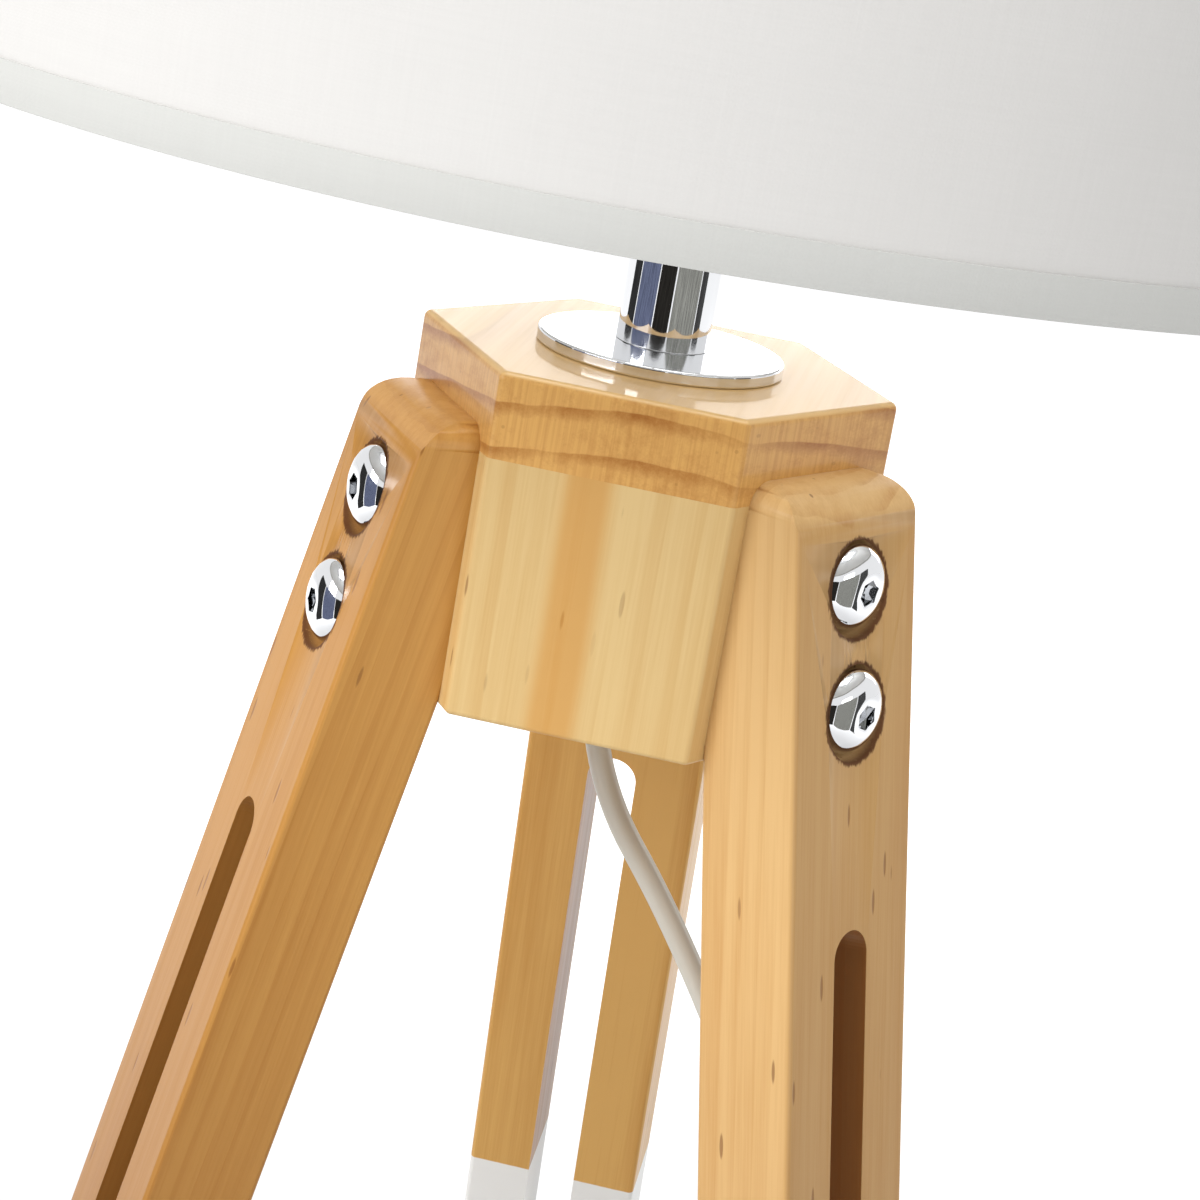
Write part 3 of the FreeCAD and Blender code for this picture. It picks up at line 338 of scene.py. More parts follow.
# ------------------------------------------------------------------ shared effects
def make_board_grain():
    """Light varnished softwood. The vector is in metres, with Z along the grain and X across the rings."""
    tree, take, give = group("board_grain", [
        ("Vector", "Vector", None), ("Pale", "Color", rgb(214, 168, 105)),
        ("Amber", "Color", rgb(186, 128, 62)),
        ("Ring Spacing", "Float", 0.004), ("Ring Strength", "Float", 0.5), ("Pith", "Float", 0.09),
        ("Fleck Amount", "Float", 1.0), ("Wander", "Float", 0.5), ("Late Wood", "Float", 0.35),
        ("Seed", "Float", 0.0),
    ], [("Color", "Color"), ("Height", "Float"), ("Sheen", "Float")])
    shift = vector(tree, "SCALE", (11.3, 4.7, 7.9), scale=take["Seed"])
    place = vector(tree, "ADD", take["Vector"], shift)
    bend = swing(tree, streaky(tree, place, 9.0, 2.2), 0.5, 0.016)
    parts = axes(tree, take["Vector"])
    from_pith = distance(tree, added(tree, parts[0], take["Pith"], bend), parts[1])
    wander = times(tree, streaky(tree, place, 160.0, 14.0), take["Wander"])
    years = added(tree, maths(tree, "DIVIDE", from_pith, take["Ring Spacing"]), wander)
    season = maths(tree, "FRACT", years)
    growth = streaky(tree, place, 70.0, 1.5, 1.0)
    ring = times(tree, spread(tree, season, take["Late Wood"], 0.96), spread(tree, season, 0.96, 1.0, 1.0, 0.0),
                 spread(tree, growth, 0.3, 0.7, 0.25, 1.0), take["Ring Strength"])
    fibre = streaky(tree, place, 2600.0, 55.0, 2.0, 0.6)
    streak = streaky(tree, place, 420.0, 10.0, 3.0, 0.6)
    broad = streaky(tree, place, 60.0, 4.0)
    cloud = streaky(tree, place, 38.0, 22.0)
    amount = added(tree, ring, swing(tree, streak, 0.5, 0.85), swing(tree, broad, 0.42, 0.9),
                   swing(tree, fibre, 0.5, 0.5), swing(tree, cloud, 0.5, 0.25), clamp=True)
    colour = mix(tree, amount, take["Pale"], take["Amber"])
    cells = add(tree, "ShaderNodeTexVoronoi", feature="F1")
    feed(tree, cells, Vector=stretched(tree, place, 300.0, 300.0, 52.0), Scale=1.0, Randomness=1.0)
    rare = feed(tree, add(tree, "ShaderNodeSeparateColor"), i0=cells.outputs["Color"]).outputs[0]
    fleck = times(tree, spread(tree, cells.outputs["Distance"], 0.09, 0.14, 1.0, 0.0),
                  spread(tree, rare, 0.45, 0.75))
    fleck = maths(tree, "MULTIPLY", fleck, take["Fleck Amount"], clamp=True)
    link(tree, mix(tree, times(tree, fleck, 0.62), colour, rgb(108, 60, 26)), give.inputs["Color"])
    height = added(tree, times(tree, fibre, 0.35), times(tree, streak, 0.45), times(tree, ring, 0.4),
                   times(tree, fleck, -0.8))
    link(tree, height, give.inputs["Height"])
    link(tree, spread(tree, streak, 0.3, 0.7, 0.9, 1.1), give.inputs["Sheen"])
    return tree


def make_weave():
    """Plain weave from a UV in metres."""
    tree, take, give = group("plain_weave", [
        ("Vector", "Vector", None), ("Pitch", "Float", 0.0004), ("Slub", "Float", 0.5),
    ], [("Height", "Float"), ("Shade", "Float")])

    def flat_noise(sx, sy):
        return noise(tree, stretched(tree, take["Vector"], sx, sy, 0.0), 1.0, 2.0)

    uneven = times(tree, flat_noise(240.0, 240.0), 0.9)
    parts = axes(tree, take["Vector"])

    def wave(part):
        yarns = added(tree, maths(tree, "DIVIDE", part, take["Pitch"]), uneven)
        return maths(tree, "SINE", times(tree, yarns, math.pi))

    warp, weft = wave(parts[0]), wave(parts[1])
    ridges = maths(tree, "MAXIMUM", maths(tree, "ABSOLUTE", warp), maths(tree, "ABSOLUTE", weft))
    over = times(tree, warp, weft)
    link(tree, added(tree, times(tree, ridges, 0.6), times(tree, over, 0.25)), give.inputs["Height"])
    threads = added(tree, flat_noise(40.0, 2200.0), flat_noise(2200.0, 40.0))
    link(tree, swing(tree, threads, 1.0, take["Slub"]), give.inputs["Shade"])
    return tree


def make_moulded_skin():
    """Faint unevenness of moulded, plated or painted skins: roughness round a middle value, and height."""
    tree, take, give = group("moulded_skin", [
        ("Vector", "Vector", None), ("Grain Size", "Float", 0.0006), ("Middle", "Float", 0.35),
        ("Swing", "Float", 0.06),
    ], [("Roughness", "Float"), ("Height", "Float"), ("Mottle", "Float")])
    count = maths(tree, "DIVIDE", 1.0, take["Grain Size"])
    fine = noise(tree, take["Vector"], count, 3.0)
    coarse = noise(tree, take["Vector"], times(tree, count, 0.05), 2.0)
    uneven = swing(tree, coarse, 0.5, take["Swing"])
    link(tree, added(tree, take["Middle"], uneven, clamp=True), give.inputs["Roughness"])
    link(tree, fine, give.inputs["Height"])
    link(tree, maths(tree, "SUBTRACT", coarse, 0.5), give.inputs["Mottle"])
    return tree


BOARD_GRAIN = make_board_grain()
PLAIN_WEAVE = make_weave()
MOULDED_SKIN = make_moulded_skin()


def cleared(owner, output):
    """The emptied node tree of a material or world, and its new output node."""
    owner.use_nodes = True
    owner.node_tree.nodes.clear()
    return owner.node_tree, add(owner.node_tree, output)


def start_material(name, **plain):
    """A material with its shader and object coordinates; plain values go on the shader's sockets."""
    material = bpy.data.materials.new(name)
    tree, out = cleared(material, "ShaderNodeOutputMaterial")
    shader = feed(tree, add(tree, "ShaderNodeBsdfPrincipled"), **plain)
    link(tree, shader.outputs[0], out.inputs[0])
    return material, tree, shader, add(tree, "ShaderNodeTexCoord").outputs["Object"]


def use(tree, effect, **inputs):
    return feed(tree, add(tree, "ShaderNodeGroup", node_tree=effect), **inputs)


def emboss(tree, shader, height, strength, depth):
    bump = feed(tree, add(tree, "ShaderNodeBump"), Height=height, Strength=strength, Distance=depth)
    link(tree, bump.outputs[0], shader.inputs["Normal"])


# ------------------------------------------------------------------ materials
def wood(name, turn, centre, seed, pale, amber, spacing, rings, pith, flecks=1.0, rough=0.42, coat=0.06,
         coat_rough=0.2, wander=0.5, late=0.35):
    """Varnished wood with its board turned and centred by a Mapping node."""
    material, tree, shader, place = start_material(name, Coat_Weight=coat, Coat_Roughness=coat_rough,
                                                   Specular_IOR_Level=0.2)
    board = add(tree, "ShaderNodeMapping", vector_type="TEXTURE")
    feed(tree, board, Vector=place, Location=centre, Rotation=turn)
    grain = use(tree, BOARD_GRAIN, Vector=board.outputs[0], Pale=pale, Amber=amber, Ring_Spacing=spacing,
                Ring_Strength=rings, Pith=pith, Fleck_Amount=flecks, Wander=wander, Late_Wood=late, Seed=seed)
    link(tree, grain.outputs["Color"], shader.inputs["Base Color"])
    link(tree, times(tree, grain.outputs["Sheen"], rough), shader.inputs["Roughness"])
    emboss(tree, shader, grain.outputs["Height"], 0.25, 0.00012)
    return material, tree, shader, place, grain.outputs, board.outputs[0]


def leg_wood(name, azimuth, seed, pale, amber, painted_shade_below, slot_painted_shade):
    """A leg: board grain, painted shade downwards and on its outer face, dark tear-out at the counterbores
    with painted shade down their walls, painted shade on the slot walls and a white dipped foot."""
    middle = about_z(azimuth) @ Vector((LEG_MIDDLE, 0, BLOCK_BOTTOM)) * MM
    material, tree, shader, place, grain, board = wood(
        name, (0.0, -LEG_SPLAY, math.radians(azimuth)), middle, seed, pale, amber,
        spacing=0.0034, rings=0.42, pith=0.05 + 0.01 * seed)
    upright = add(tree, "ShaderNodeMapping", vector_type="TEXTURE")
    feed(tree, upright, Vector=place, Rotation=(0.0, 0.0, math.radians(azimuth)))
    side = axes(tree, upright.outputs[0])
    ragged = streaky(tree, place, 1500.0, 500.0, 3.0)
    uneven = swing(tree, ragged, 0.5, 0.0016)
    rims = []
    for z in BOLT_HEIGHTS:
        reach = added(tree, distance(tree, maths(tree, "SUBTRACT", side[2], z * MM), side[1]), uneven)
        rims.append(spread(tree, reach, (COUNTERBORE + 0.15) * MM, (COUNTERBORE + 0.7) * MM, 1.0, 0.0))
    along = axes(tree, board)
    depth = maths(tree, "ABSOLUTE", along[0])
    # dark tear-out round each counterbore's mouth, and painted shade down its walls and floor
    torn_rim_and_recess_shade = times(tree, maths(tree, "MAXIMUM", *rims), spread(tree, along[0], 0.003, 0.004))
    dark = times(tree, torn_rim_and_recess_shade, spread(tree, depth, 0.0070, 0.0092, 0.45, 1.0), 0.92)
    # painted shade: the outer face of each leg is painted darker
    face = spread(tree, along[0], 0.0084, 0.0094, 0.0, 0.32)
    colour = mix(tree, face, grain["Color"], rgb(150, 98, 38))
    # painted shade: each leg is painted darker towards the bottom
    colour = mix(tree, spread(tree, along[2], -0.15, 0.0, painted_shade_below, 0.0), colour, rgb(142, 92, 38))
    colour = mix(tree, dark, colour, rgb(88, 48, 20))
    # painted shade on the walls inside each slot
    slot = times(tree, maths(tree, "LESS_THAN", maths(tree, "ABSOLUTE", along[1]), SLOT_HALF * MM),
                 maths(tree, "LESS_THAN", depth, (LEG_THICK / 2 - 0.12) * MM),
                 maths(tree, "LESS_THAN", along[2], -SLOT_LINE * MM), slot_painted_shade)
    colour = mix(tree, slot, colour, rgb(134, 72, 22))
    edge = added(tree, along[2], times(tree, streaky(tree, place, 300.0, 300.0, 3.0), 0.0003))
    dipped = spread(tree, edge, -(DIP_LINE + 0.1) * MM, -(DIP_LINE - 0.15) * MM, 1.0, 0.0)
    skin = use(tree, MOULDED_SKIN, Vector=place, Grain_Size=0.0015, Middle=0.3, Swing=0.06)
    link(tree, mix(tree, dipped, colour, rgb(226, 225, 222)), shader.inputs["Base Color"])
    rough = added(tree, times(tree, grain["Sheen"], 0.36), times(tree, torn_rim_and_recess_shade, 0.4))
    rough_mix = add(tree, "ShaderNodeMix", data_type="FLOAT")
    feed(tree, rough_mix, i0=dipped, i2=rough, i3=skin.outputs["Roughness"])
    link(tree, rough_mix.outputs[0], shader.inputs["Roughness"])
    bare = maths(tree, "SUBTRACT", 1.0, times(tree, dipped, 0.8))
    height = added(tree, times(tree, grain["Height"], bare), times(tree, torn_rim_and_recess_shade, ragged, 3.0),
                   times(tree, dipped, 1.2))
    emboss(tree, shader, height, 0.3, 0.00014)
    return material


def moulded(name, dark, light, rough, uneven, grain, relief, depth, mottle=1.0, **plain):
    """A smooth skin whose colour, roughness and surface vary faintly."""
    material, tree, shader, place = start_material(name, **plain)
    skin = use(tree, MOULDED_SKIN, Vector=place, Grain_Size=grain, Middle=rough, Swing=uneven).outputs
    tone = added(tree, times(tree, skin["Mottle"], mottle), 0.5, clamp=True)
    link(tree, mix(tree, tone, rgb(*dark), rgb(*light)), shader.inputs["Base Color"])
    link(tree, skin["Roughness"], shader.inputs["Roughness"])
    emboss(tree, shader, skin["Height"], relief, depth)
    return material


def metal(name, colour, rough):
    return moulded(name, [c * 0.82 for c in colour], colour, rough, 0.12, 0.0008, 0.12, 0.00004, Metallic=1.0)


def plastic(name, colour, rough, grain=0.0005, relief=0.06, **plain):
    return moulded(name, [c - 5 for c in colour], [min(255, c + 3) for c in colour], rough, 0.03, grain,
                   relief, 0.00004, mottle=0.8, **plain)


def cloth(name, colour, relief=0.3):
    material, tree, shader, place = start_material(name, Sheen_Weight=0.15, Sheen_Roughness=0.4)
    spot = add(tree, "ShaderNodeUVMap", uv_map="around").outputs[0]
    weave = use(tree, PLAIN_WEAVE, Vector=spot, Pitch=0.00042, Slub=0.8).outputs
    cloud = times(tree, noise(tree, place, 30.0), 0.5)
    tone = added(tree, times(tree, weave["Shade"], 0.5), cloud, clamp=True)
    link(tree, mix(tree, tone, rgb(*[c - 9 for c in colour]), rgb(*colour)), shader.inputs["Base Color"])
    link(tree, added(tree, 0.78, times(tree, weave["Shade"], 0.1)), shader.inputs["Roughness"])
    emboss(tree, shader, weave["Height"], relief, 0.00005)
    return material


def felt(name, colour):
    material, tree, shader, place = start_material(name, Sheen_Weight=0.5)
    fuzz = noise(tree, place, 2400.0, 4.0, 0.7, 1.0)
    link(tree, mix(tree, fuzz, rgb(*[c - 30 for c in colour]), rgb(*colour)), shader.inputs["Base Color"])
    link(tree, spread(tree, fuzz, 0.2, 0.8, 0.85, 1.0), shader.inputs["Roughness"])
    emboss(tree, shader, fuzz, 0.6, 0.0003)
    return material


CHROME = moulded("mirror_chrome", (226, 227, 229), (232, 233, 235), 0.035, 0.03, 0.0009, 0.04, 0.00002,
                 Metallic=1.0)
ZINC = metal("zinc_plate", (196, 196, 190), 0.34)
BRASS = metal("plain_brass", (214, 178, 104), 0.3)
CAP_METAL = metal("bulb_cap_metal", (206, 207, 208), 0.28)
WHITE_PLASTIC = plastic("white_moulding", (232, 232, 230), 0.28)
HOLDER_PLASTIC = plastic("holder_moulding", (231, 231, 228), 0.24)
GRIP_PLASTIC = plastic("grip_moulding", (222, 221, 216), 0.5, relief=0.15)
CERAMIC = plastic("glazed_core", (228, 226, 218), 0.18)
INSULATOR = plastic("black_glaze", (22, 22, 24), 0.12)
BULB_WHITE = plastic("opal_globe", (238, 238, 236), 0.38, Subsurface_Weight=0.15,
                     Subsurface_Radius=(0.004, 0.004, 0.004), Subsurface_Scale=1.0)
CIRCUIT = plastic("white_board", (232, 232, 226), 0.45)
FILM = plastic("shade_backing", (240, 240, 238), 0.5, grain=0.002)
WIRE = plastic("powder_coat", (234, 234, 232), 0.42, grain=0.0004, relief=0.25)
CORD_PVC = plastic("cord_sheath", (211, 208, 197), 0.33, grain=0.0012, relief=0.1)
STRAP = plastic("strap_weave", (222, 222, 218), 0.7, grain=0.0004, relief=0.5)
SHADE_CLOTH = cloth("shade_cloth", (217, 215, 212))
# painted shade: the hem tape is painted greyer than the shade cloth
HEM_CLOTH = cloth("hem_cloth", (203, 203, 199), relief=0.35)
FELT = felt("pad_felt", (206, 202, 194))


# ------------------------------------------------------------------ wooden pieces
# the last two numbers set the painted shade towards the bottom and the painted shade on the slot walls
LEG_WOODS = {
    "leg_right": leg_wood("right_leg_wood", -30.0, 1.0, rgb(215, 176, 119), rgb(187, 135, 72), 0.3, 0.75),
    "leg_back": leg_wood("back_leg_wood", 90.0, 2.0, rgb(213, 167, 96), rgb(181, 126, 54), 0.12, 0.5),
    "leg_left": leg_wood("left_leg_wood", 210.0, 3.0, rgb(198, 146, 76), rgb(166, 108, 42), 0.6, 0.3),
}
for leg, material in LEG_WOODS.items():
    dressed(leg, leg + "_board", "lamp", material, "leg_wood", sharp=28.0)


def block_wood():
    """The block's board, with a broad orange streak up its front."""
    material, tree, shader, place, grain = wood(
        "block_wood", (0.0, 0.0, 0.0), (0.0, 0.0, 0.32), 4.0, rgb(213, 183, 128), rgb(192, 148, 84),
        spacing=0.006, rings=0.25, pith=0.12, flecks=0.9)[:5]
    sway = swing(tree, streaky(tree, place, 60.0, 12.0), 0.5, 0.003)
    off = maths(tree, "ABSOLUTE", added(tree, axes(tree, place)[0], sway, 0.0032))
    band = spread(tree, off, 0.0022, 0.0056, 0.62, 0.0)
    link(tree, mix(tree, band, grain["Color"], rgb(196, 136, 54)), shader.inputs["Base Color"])
    return material


def cap_wood():
    """The cap's board lies flat; its top is painted paler than its sides: a painted sheen on its lacquer."""
    crosswise = Matrix(((0, 1, 0), (0, 0, 1), (1, 0, 0))).to_euler()
    material, tree, shader, place, grain = wood(
        "cap_wood", crosswise, (0.0, 0.0, (CAP_BOTTOM + 3.0) * MM), 5.0, rgb(214, 164, 94), rgb(160, 100, 42),
        spacing=0.0074, rings=0.8, pith=0.1406, flecks=0.4, rough=0.34, coat=0.3, coat_rough=0.06,
        wander=0.12, late=0.6)[:5]
    height = axes(tree, place)[2]
    # painted sheen: the top face is painted paler
    top = spread(tree, height, (HEAD_TOP - 0.8) * MM, (HEAD_TOP - 0.3) * MM, 0.0, 0.55)
    colour = mix(tree, top, grain["Color"], rgb(232, 198, 140))
    saw_marks = spread(tree, streaky(tree, place, 1500.0, 40.0, 2.0, 0.6), 0.35, 0.7, 0.0, 0.3)
    saw_marks = times(tree, saw_marks, maths(tree, "LESS_THAN", height, (HEAD_TOP - 0.6) * MM))
    link(tree, mix(tree, saw_marks, colour, rgb(168, 108, 50)), shader.inputs["Base Color"])
    return material


dressed("head_block", "head_block_wood", "lamp", block_wood(), "block_wood", sharp=28.0)
dressed("cap_plate", "cap_plate_wood", "lamp", cap_wood(), "cap_wood", sharp=28.0)

PAD = [(0, 0), (PAD_R, 0), (PAD_R, PAD_HIGH), (0, PAD_HIGH)]
foot = LEG_MIDDLE + (BLOCK_BOTTOM - PAD_HIGH) * math.tan(LEG_SPLAY)
pads = []
for azimuth in LEG_AZIMUTHS.values():
    pad = turned_mesh("pad", soften(PAD, 0.5), 64)
    pad.transform(about_z(azimuth) @ Matrix.Translation((foot * MM, 0, 0)))
    pads.append(pad)
finished("felt_pads", joined("felt_pads", pads), "lamp", FELT, "felt", "foot_pads")

# ------------------------------------------------------------------ metal pieces
BOLT_OUTLINE = [(0, -30.0), (2.6, -30.0), (2.95, -29.6), (2.95, 0.0), (6.2, 0.0), (6.2, BOLT_RAISE)]
BOLT_OUTLINE += [(r, z + BOLT_RAISE) for r, z in BOLT_HEAD]


def bolt_mesh(count=72):
    """Domed head with a hexagonal socket, on its shank; the head's seat is at z = 0."""
    bm = bmesh.new()
    angles = around(count)
    floor = SOCKET_DEPTH + BOLT_RAISE
    hexagon = [SOCKET_HALF / math.cos((angle + math.pi / 6) % (math.pi / 3) - math.pi / 6)
               for angle in angles]
    rings = [([r] * count, z) for r, z in BOLT_OUTLINE]
    rings += [(hexagon, 4.86 + BOLT_RAISE), (hexagon, floor), ([0.0] * count, floor - 0.6)]
    verts = []
    for radii, z in rings:
        if max(radii) < ON_AXIS:
            verts.append([bm.verts.new((0, 0, z * MM))])
        else:
            verts.append([bm.verts.new((r * math.cos(angle) * MM, r * math.sin(angle) * MM, z * MM))
                          for r, angle in zip(radii, angles)])
    for low, high in zip(verts, verts[1:]):
        for k in range(count):
            n = (k + 1) % count
            corners = [low[k % len(low)], low[n % len(low)], high[n % len(high)], high[k % len(high)]]
            bm.faces.new(list(dict.fromkeys(corners)))
    return closed_mesh("bolt", bm)


LAY = Matrix.Rotation(math.radians(90), 4, "Y")
bolts = []
for azimuth in LEG_AZIMUTHS.values():
    for z in BOLT_HEIGHTS:
        outer_face = LEG_FACE + LEG_THICK / math.cos(LEG_SPLAY) - (z - BLOCK_BOTTOM) * math.tan(LEG_SPLAY)
        seat = Matrix.Translation(((outer_face - COUNTERBORE_DEPTH) * MM, 0, z * MM))
        bolt = bolt_mesh()
        bolt.transform(about_z(azimuth) @ seat @ LAY @ about_z(17 + 23 * len(bolts)))
        bolts.append(bolt)
finished("leg_bolt_set", joined("leg_bolt_set", bolts), "lamp", CHROME, "chrome", "leg_bolts", sharp=40.0)
FLANGE = [(5.3, HEAD_TOP), (FLANGE_R, HEAD_TOP), (FLANGE_R, FLANGE_TOP), (5.3, FLANGE_TOP)]
finished("flange", turned_mesh("flange", soften(FLANGE, 0.5, 5)), "lamp", CHROME, "chrome", "flange_disc",
         weighted=True)
TUBE = [(7.0, FLANGE_TOP), (TUBE_R, FLANGE_TOP), (TUBE_R, HOLDER_BOTTOM), (7.0, HOLDER_BOTTOM)]
finished("tube", turned_mesh("tube", soften(TUBE, 0.15, 2)), "lamp", CHROME, "chrome", "chrome_tube",
         weighted=True)
for node, material, slot in (
        ("threaded_rod", ZINC, "zinc"), ("rod_washer", ZINC, "zinc"), ("rod_nuts", ZINC, "zinc"),
        ("threaded_inserts", BRASS, "brass"), ("socket_shell", BRASS, "brass"),
        ("centre_contact", BRASS, "brass"),
        ("socket_core", CERAMIC, "ceramic"), ("cord_grip", GRIP_PLASTIC, "grip_plastic"),
        ("holder_base", HOLDER_PLASTIC, "holder_plastic"),
        ("inner_cord", CORD_PVC, "cord_pvc"), ("switch_base", WHITE_PLASTIC, "white_plastic"),
        ("switch_cover", WHITE_PLASTIC, "white_plastic"), ("switch_screws", ZINC, "zinc"),
        ("switch_terminals", BRASS, "brass"), ("plug_body", WHITE_PLASTIC, "white_plastic"),
        ("plug_pins", ZINC, "zinc"), ("coil_tie", STRAP, "tie_strap")):
    dressed(node, node + "_skin", "lamp", material, slot)
for node, body, material, slot in (
        ("clamp_washer", "ring_lift", HOLDER_PLASTIC, "holder_plastic"),
        ("clamp_ring", "ring", HOLDER_PLASTIC, "holder_plastic"),
        ("bulb_tip", "bulb_lift", ZINC, "zinc"), ("bulb_insulator", "bulb", INSULATOR, "dark_insulator"),
        ("bulb_collar", "bulb", WHITE_PLASTIC, "white_plastic"),
        ("led_board", "bulb", CIRCUIT, "circuit"), ("bulb_globe", "bulb", BULB_WHITE, "bulb_white"),
        ("switch_rocker", "rocker", WHITE_PLASTIC, "white_plastic"),
        ("shade_hub", "shade", WIRE, "white_wire"),
        ("shade_arms", "shade", WIRE, "white_wire")):
    dressed(node, node + "_skin", body, material, slot)


def threaded_wall(name, radius, bottom, top, low, high, pitch, depth, tail, body, material, slot, node):
    """Turned sleeve with a round thread on its outer wall, which fades out at both ends of its run from
    low to high; tail closes the outline."""
    def offset(angle, r, z):
        if not low < z < high or r < radius - 0.01:
            return 0.0
        fade = min(1.0, (z - low) / pitch, (high - z) / pitch)
        return -depth * fade * (0.5 + 0.5 * math.cos(TURN * z / pitch - angle))
    rows = int((top - bottom) / 0.3)
    outline = [(radius, bottom + (top - bottom) * k / rows) for k in range(rows + 1)] + tail
    finished(name, turned_mesh(name, outline, 96, offset), body, material, slot, node, sharp=50.0)


threaded_wall("holder_thread", HOLDER_R, SHOULDER_TOP, SLEEVE_TOP - 0.6, 449.5, 476.5, 3.0, 0.7,
              [(HOLDER_R - 0.6, SLEEVE_TOP), (16.0, SLEEVE_TOP), (16.0, SLEEVE_TOP - 2.0),
               (HOLDER_BORE, SLEEVE_TOP - 2.0), (HOLDER_BORE, SLEEVE_BOTTOM), (23.6, SLEEVE_BOTTOM),
               (24.0, SLEEVE_BOTTOM + 0.4), (24.0, SHOULDER_TOP - 0.4), (23.6, SHOULDER_TOP)],
              "lamp", HOLDER_PLASTIC, "holder_plastic", "holder_sleeve")
threaded_wall("bulb_thread", BULB_CAP_R, BULB_CAP_BOTTOM, BULB_CAP_TOP, 446.0, 464.5, 3.62, 0.9,
              [(11.7, BULB_CAP_TOP), (11.7, BULB_CAP_BOTTOM)], "bulb", CAP_METAL, "cap_metal", "bulb_cap")


def rib_maker():
    """Rings along -Y that grow from one radius to another."""
    tree = bpy.data.node_groups.new("sleeve_ribs", "GeometryNodeTree")
    tree.interface.new_socket(name="Geometry", in_out="OUTPUT", socket_type="NodeSocketGeometry")
    for label, kind, value in (
            ("Count", "Int", 5), ("Step", "Float", 0.004), ("First Radius", "Float", 0.0036),
            ("Growth", "Float", 0.00026), ("Thickness", "Float", 0.0006),
            ("Start", "Vector", (0.0, 0.0, 0.0)), ("Material", "Material", None)):
        socket = tree.interface.new_socket(name=label, in_out="INPUT", socket_type="NodeSocket" + kind)
        if value is not None:
            socket.default_value = value
    take, give = add(tree, "NodeGroupInput").outputs, add(tree, "NodeGroupOutput")
    step = add(tree, "ShaderNodeCombineXYZ")
    link(tree, maths(tree, "MULTIPLY", take["Step"], -1.0), step.inputs[1])
    points = add(tree, "GeometryNodeMeshLine")
    feed(tree, points, Count=take["Count"], Start_Location=take["Start"], Offset=step.outputs[0])
    ring = add(tree, "GeometryNodeCurvePrimitiveCircle")
    feed(tree, ring, Resolution=48, Radius=1.0)
    section = add(tree, "GeometryNodeCurvePrimitiveCircle")
    feed(tree, section, Resolution=10, Radius=maths(tree, "DIVIDE", take["Thickness"], take["First Radius"]))
    torus = add(tree, "GeometryNodeCurveToMesh")
    feed(tree, torus, Curve=ring.outputs[0], Profile_Curve=section.outputs[0])
    upright = add(tree, "GeometryNodeTransform")
    feed(tree, upright, Geometry=torus.outputs[0], Rotation=(math.pi / 2, 0.0, 0.0))
    index = add(tree, "GeometryNodeInputIndex").outputs[0]
    size = maths(tree, "ADD", maths(tree, "MULTIPLY", index, take["Growth"]), take["First Radius"])
    place = add(tree, "GeometryNodeInstanceOnPoints")
    feed(tree, place, Points=points.outputs[0], Instance=upright.outputs[0], Scale=size)
    solid = add(tree, "GeometryNodeRealizeInstances")
    link(tree, place.outputs[0], solid.inputs[0])
    paint = add(tree, "GeometryNodeSetMaterial")
    feed(tree, paint, Geometry=solid.outputs[0], Material=take["Material"])
    link(tree, paint.outputs[0], give.inputs[0])
    return tree


RIBS = rib_maker()


def baked(name, tree, **inputs):
    """One mesh from a node tree, with its modifier's inputs set by name."""
    holder = placed(name, bpy.data.meshes.new(name + "_seed"))
    modifier = holder.modifiers.new("maker", "NODES")
    modifier.node_group = tree
    sockets = {item.name: item.identifier for item in tree.interface.items_tree if item.in_out == "INPUT"}
    for key, value in inputs.items():
        modifier[sockets[key.replace("_", " ")]] = value
    mesh = evaluated_mesh(holder)
    mesh.name = name
    return mesh


PLUG_ENTRY = Vector((8.64, -44.78, 7.0))
finished("plug_ribs", baked("plug_ribs", RIBS, Count=6, Step=0.0034, First_Radius=0.0038, Growth=0.00021,
                            Thickness=0.0005, Start=tuple((PLUG_ENTRY + Vector((0, -3.5, 0))) * MM),
                            Material=WHITE_PLASTIC),
         "lamp", WHITE_PLASTIC, "white_plastic")


# ------------------------------------------------------------------ shade
def tube_of_cloth(name, outer, inner, rows=40):
    """Thin upright cylinder with rows, so that its edges and middle shade smoothly."""
    heights = [FABRIC_BOTTOM + (FABRIC_TOP - FABRIC_BOTTOM) * k / rows for k in range(rows + 1)]
    return turned_mesh(name, [(outer, z) for z in heights] + [(inner, z) for z in reversed(heights)], 256)


fabric = finished("shade_skin", tube_of_cloth("shade_skin", FABRIC_R, 149.0), "shade", SHADE_CLOTH,
                  "shade_cloth", "shade_fabric")
finished("shade_film", tube_of_cloth("shade_film", 149.0, 148.6), "shade", FILM, "shade_film", "shade_liner")


def hem_outline(edge, into):
    """A tape folded round the cloth's edge; into is 1 where the shade lies above the edge and -1 below."""
    t, outer, inner, deep = 0.5, SHADE_R, SHADE_R - 5.0, edge + into * HEM_HIGH
    corners = [(inner, edge), (outer, edge), (outer, deep), (outer - t, deep), (outer - t, edge + into * t),
               (inner + t, edge + into * t), (inner + t, deep), (inner, deep)]
    return soften(corners, 0.2, 2)


finished("shade_hem_low", turned_mesh("shade_hem_low", hem_outline(SHADE_BOTTOM, 1), 256), "shade",
         HEM_CLOTH, "hem_tape", "shade_bottom_hem")
finished("shade_hem_high", turned_mesh("shade_hem_high", hem_outline(SHADE_TOP, -1), 256), "shade",
         HEM_CLOTH, "hem_tape", "shade_top_hem")
for name, node, z in (("top_ring_wire", "shade_top_ring", 597.95),
                      ("low_ring_wire", "shade_bottom_ring", 402.05)):
    wire = [(RING_R + WIRE_R * math.cos(angle), z + WIRE_R * math.sin(angle)) for angle in around(14)]
    finished(name, turned_mesh(name, wire), "shade", WIRE, "white_wire", node)


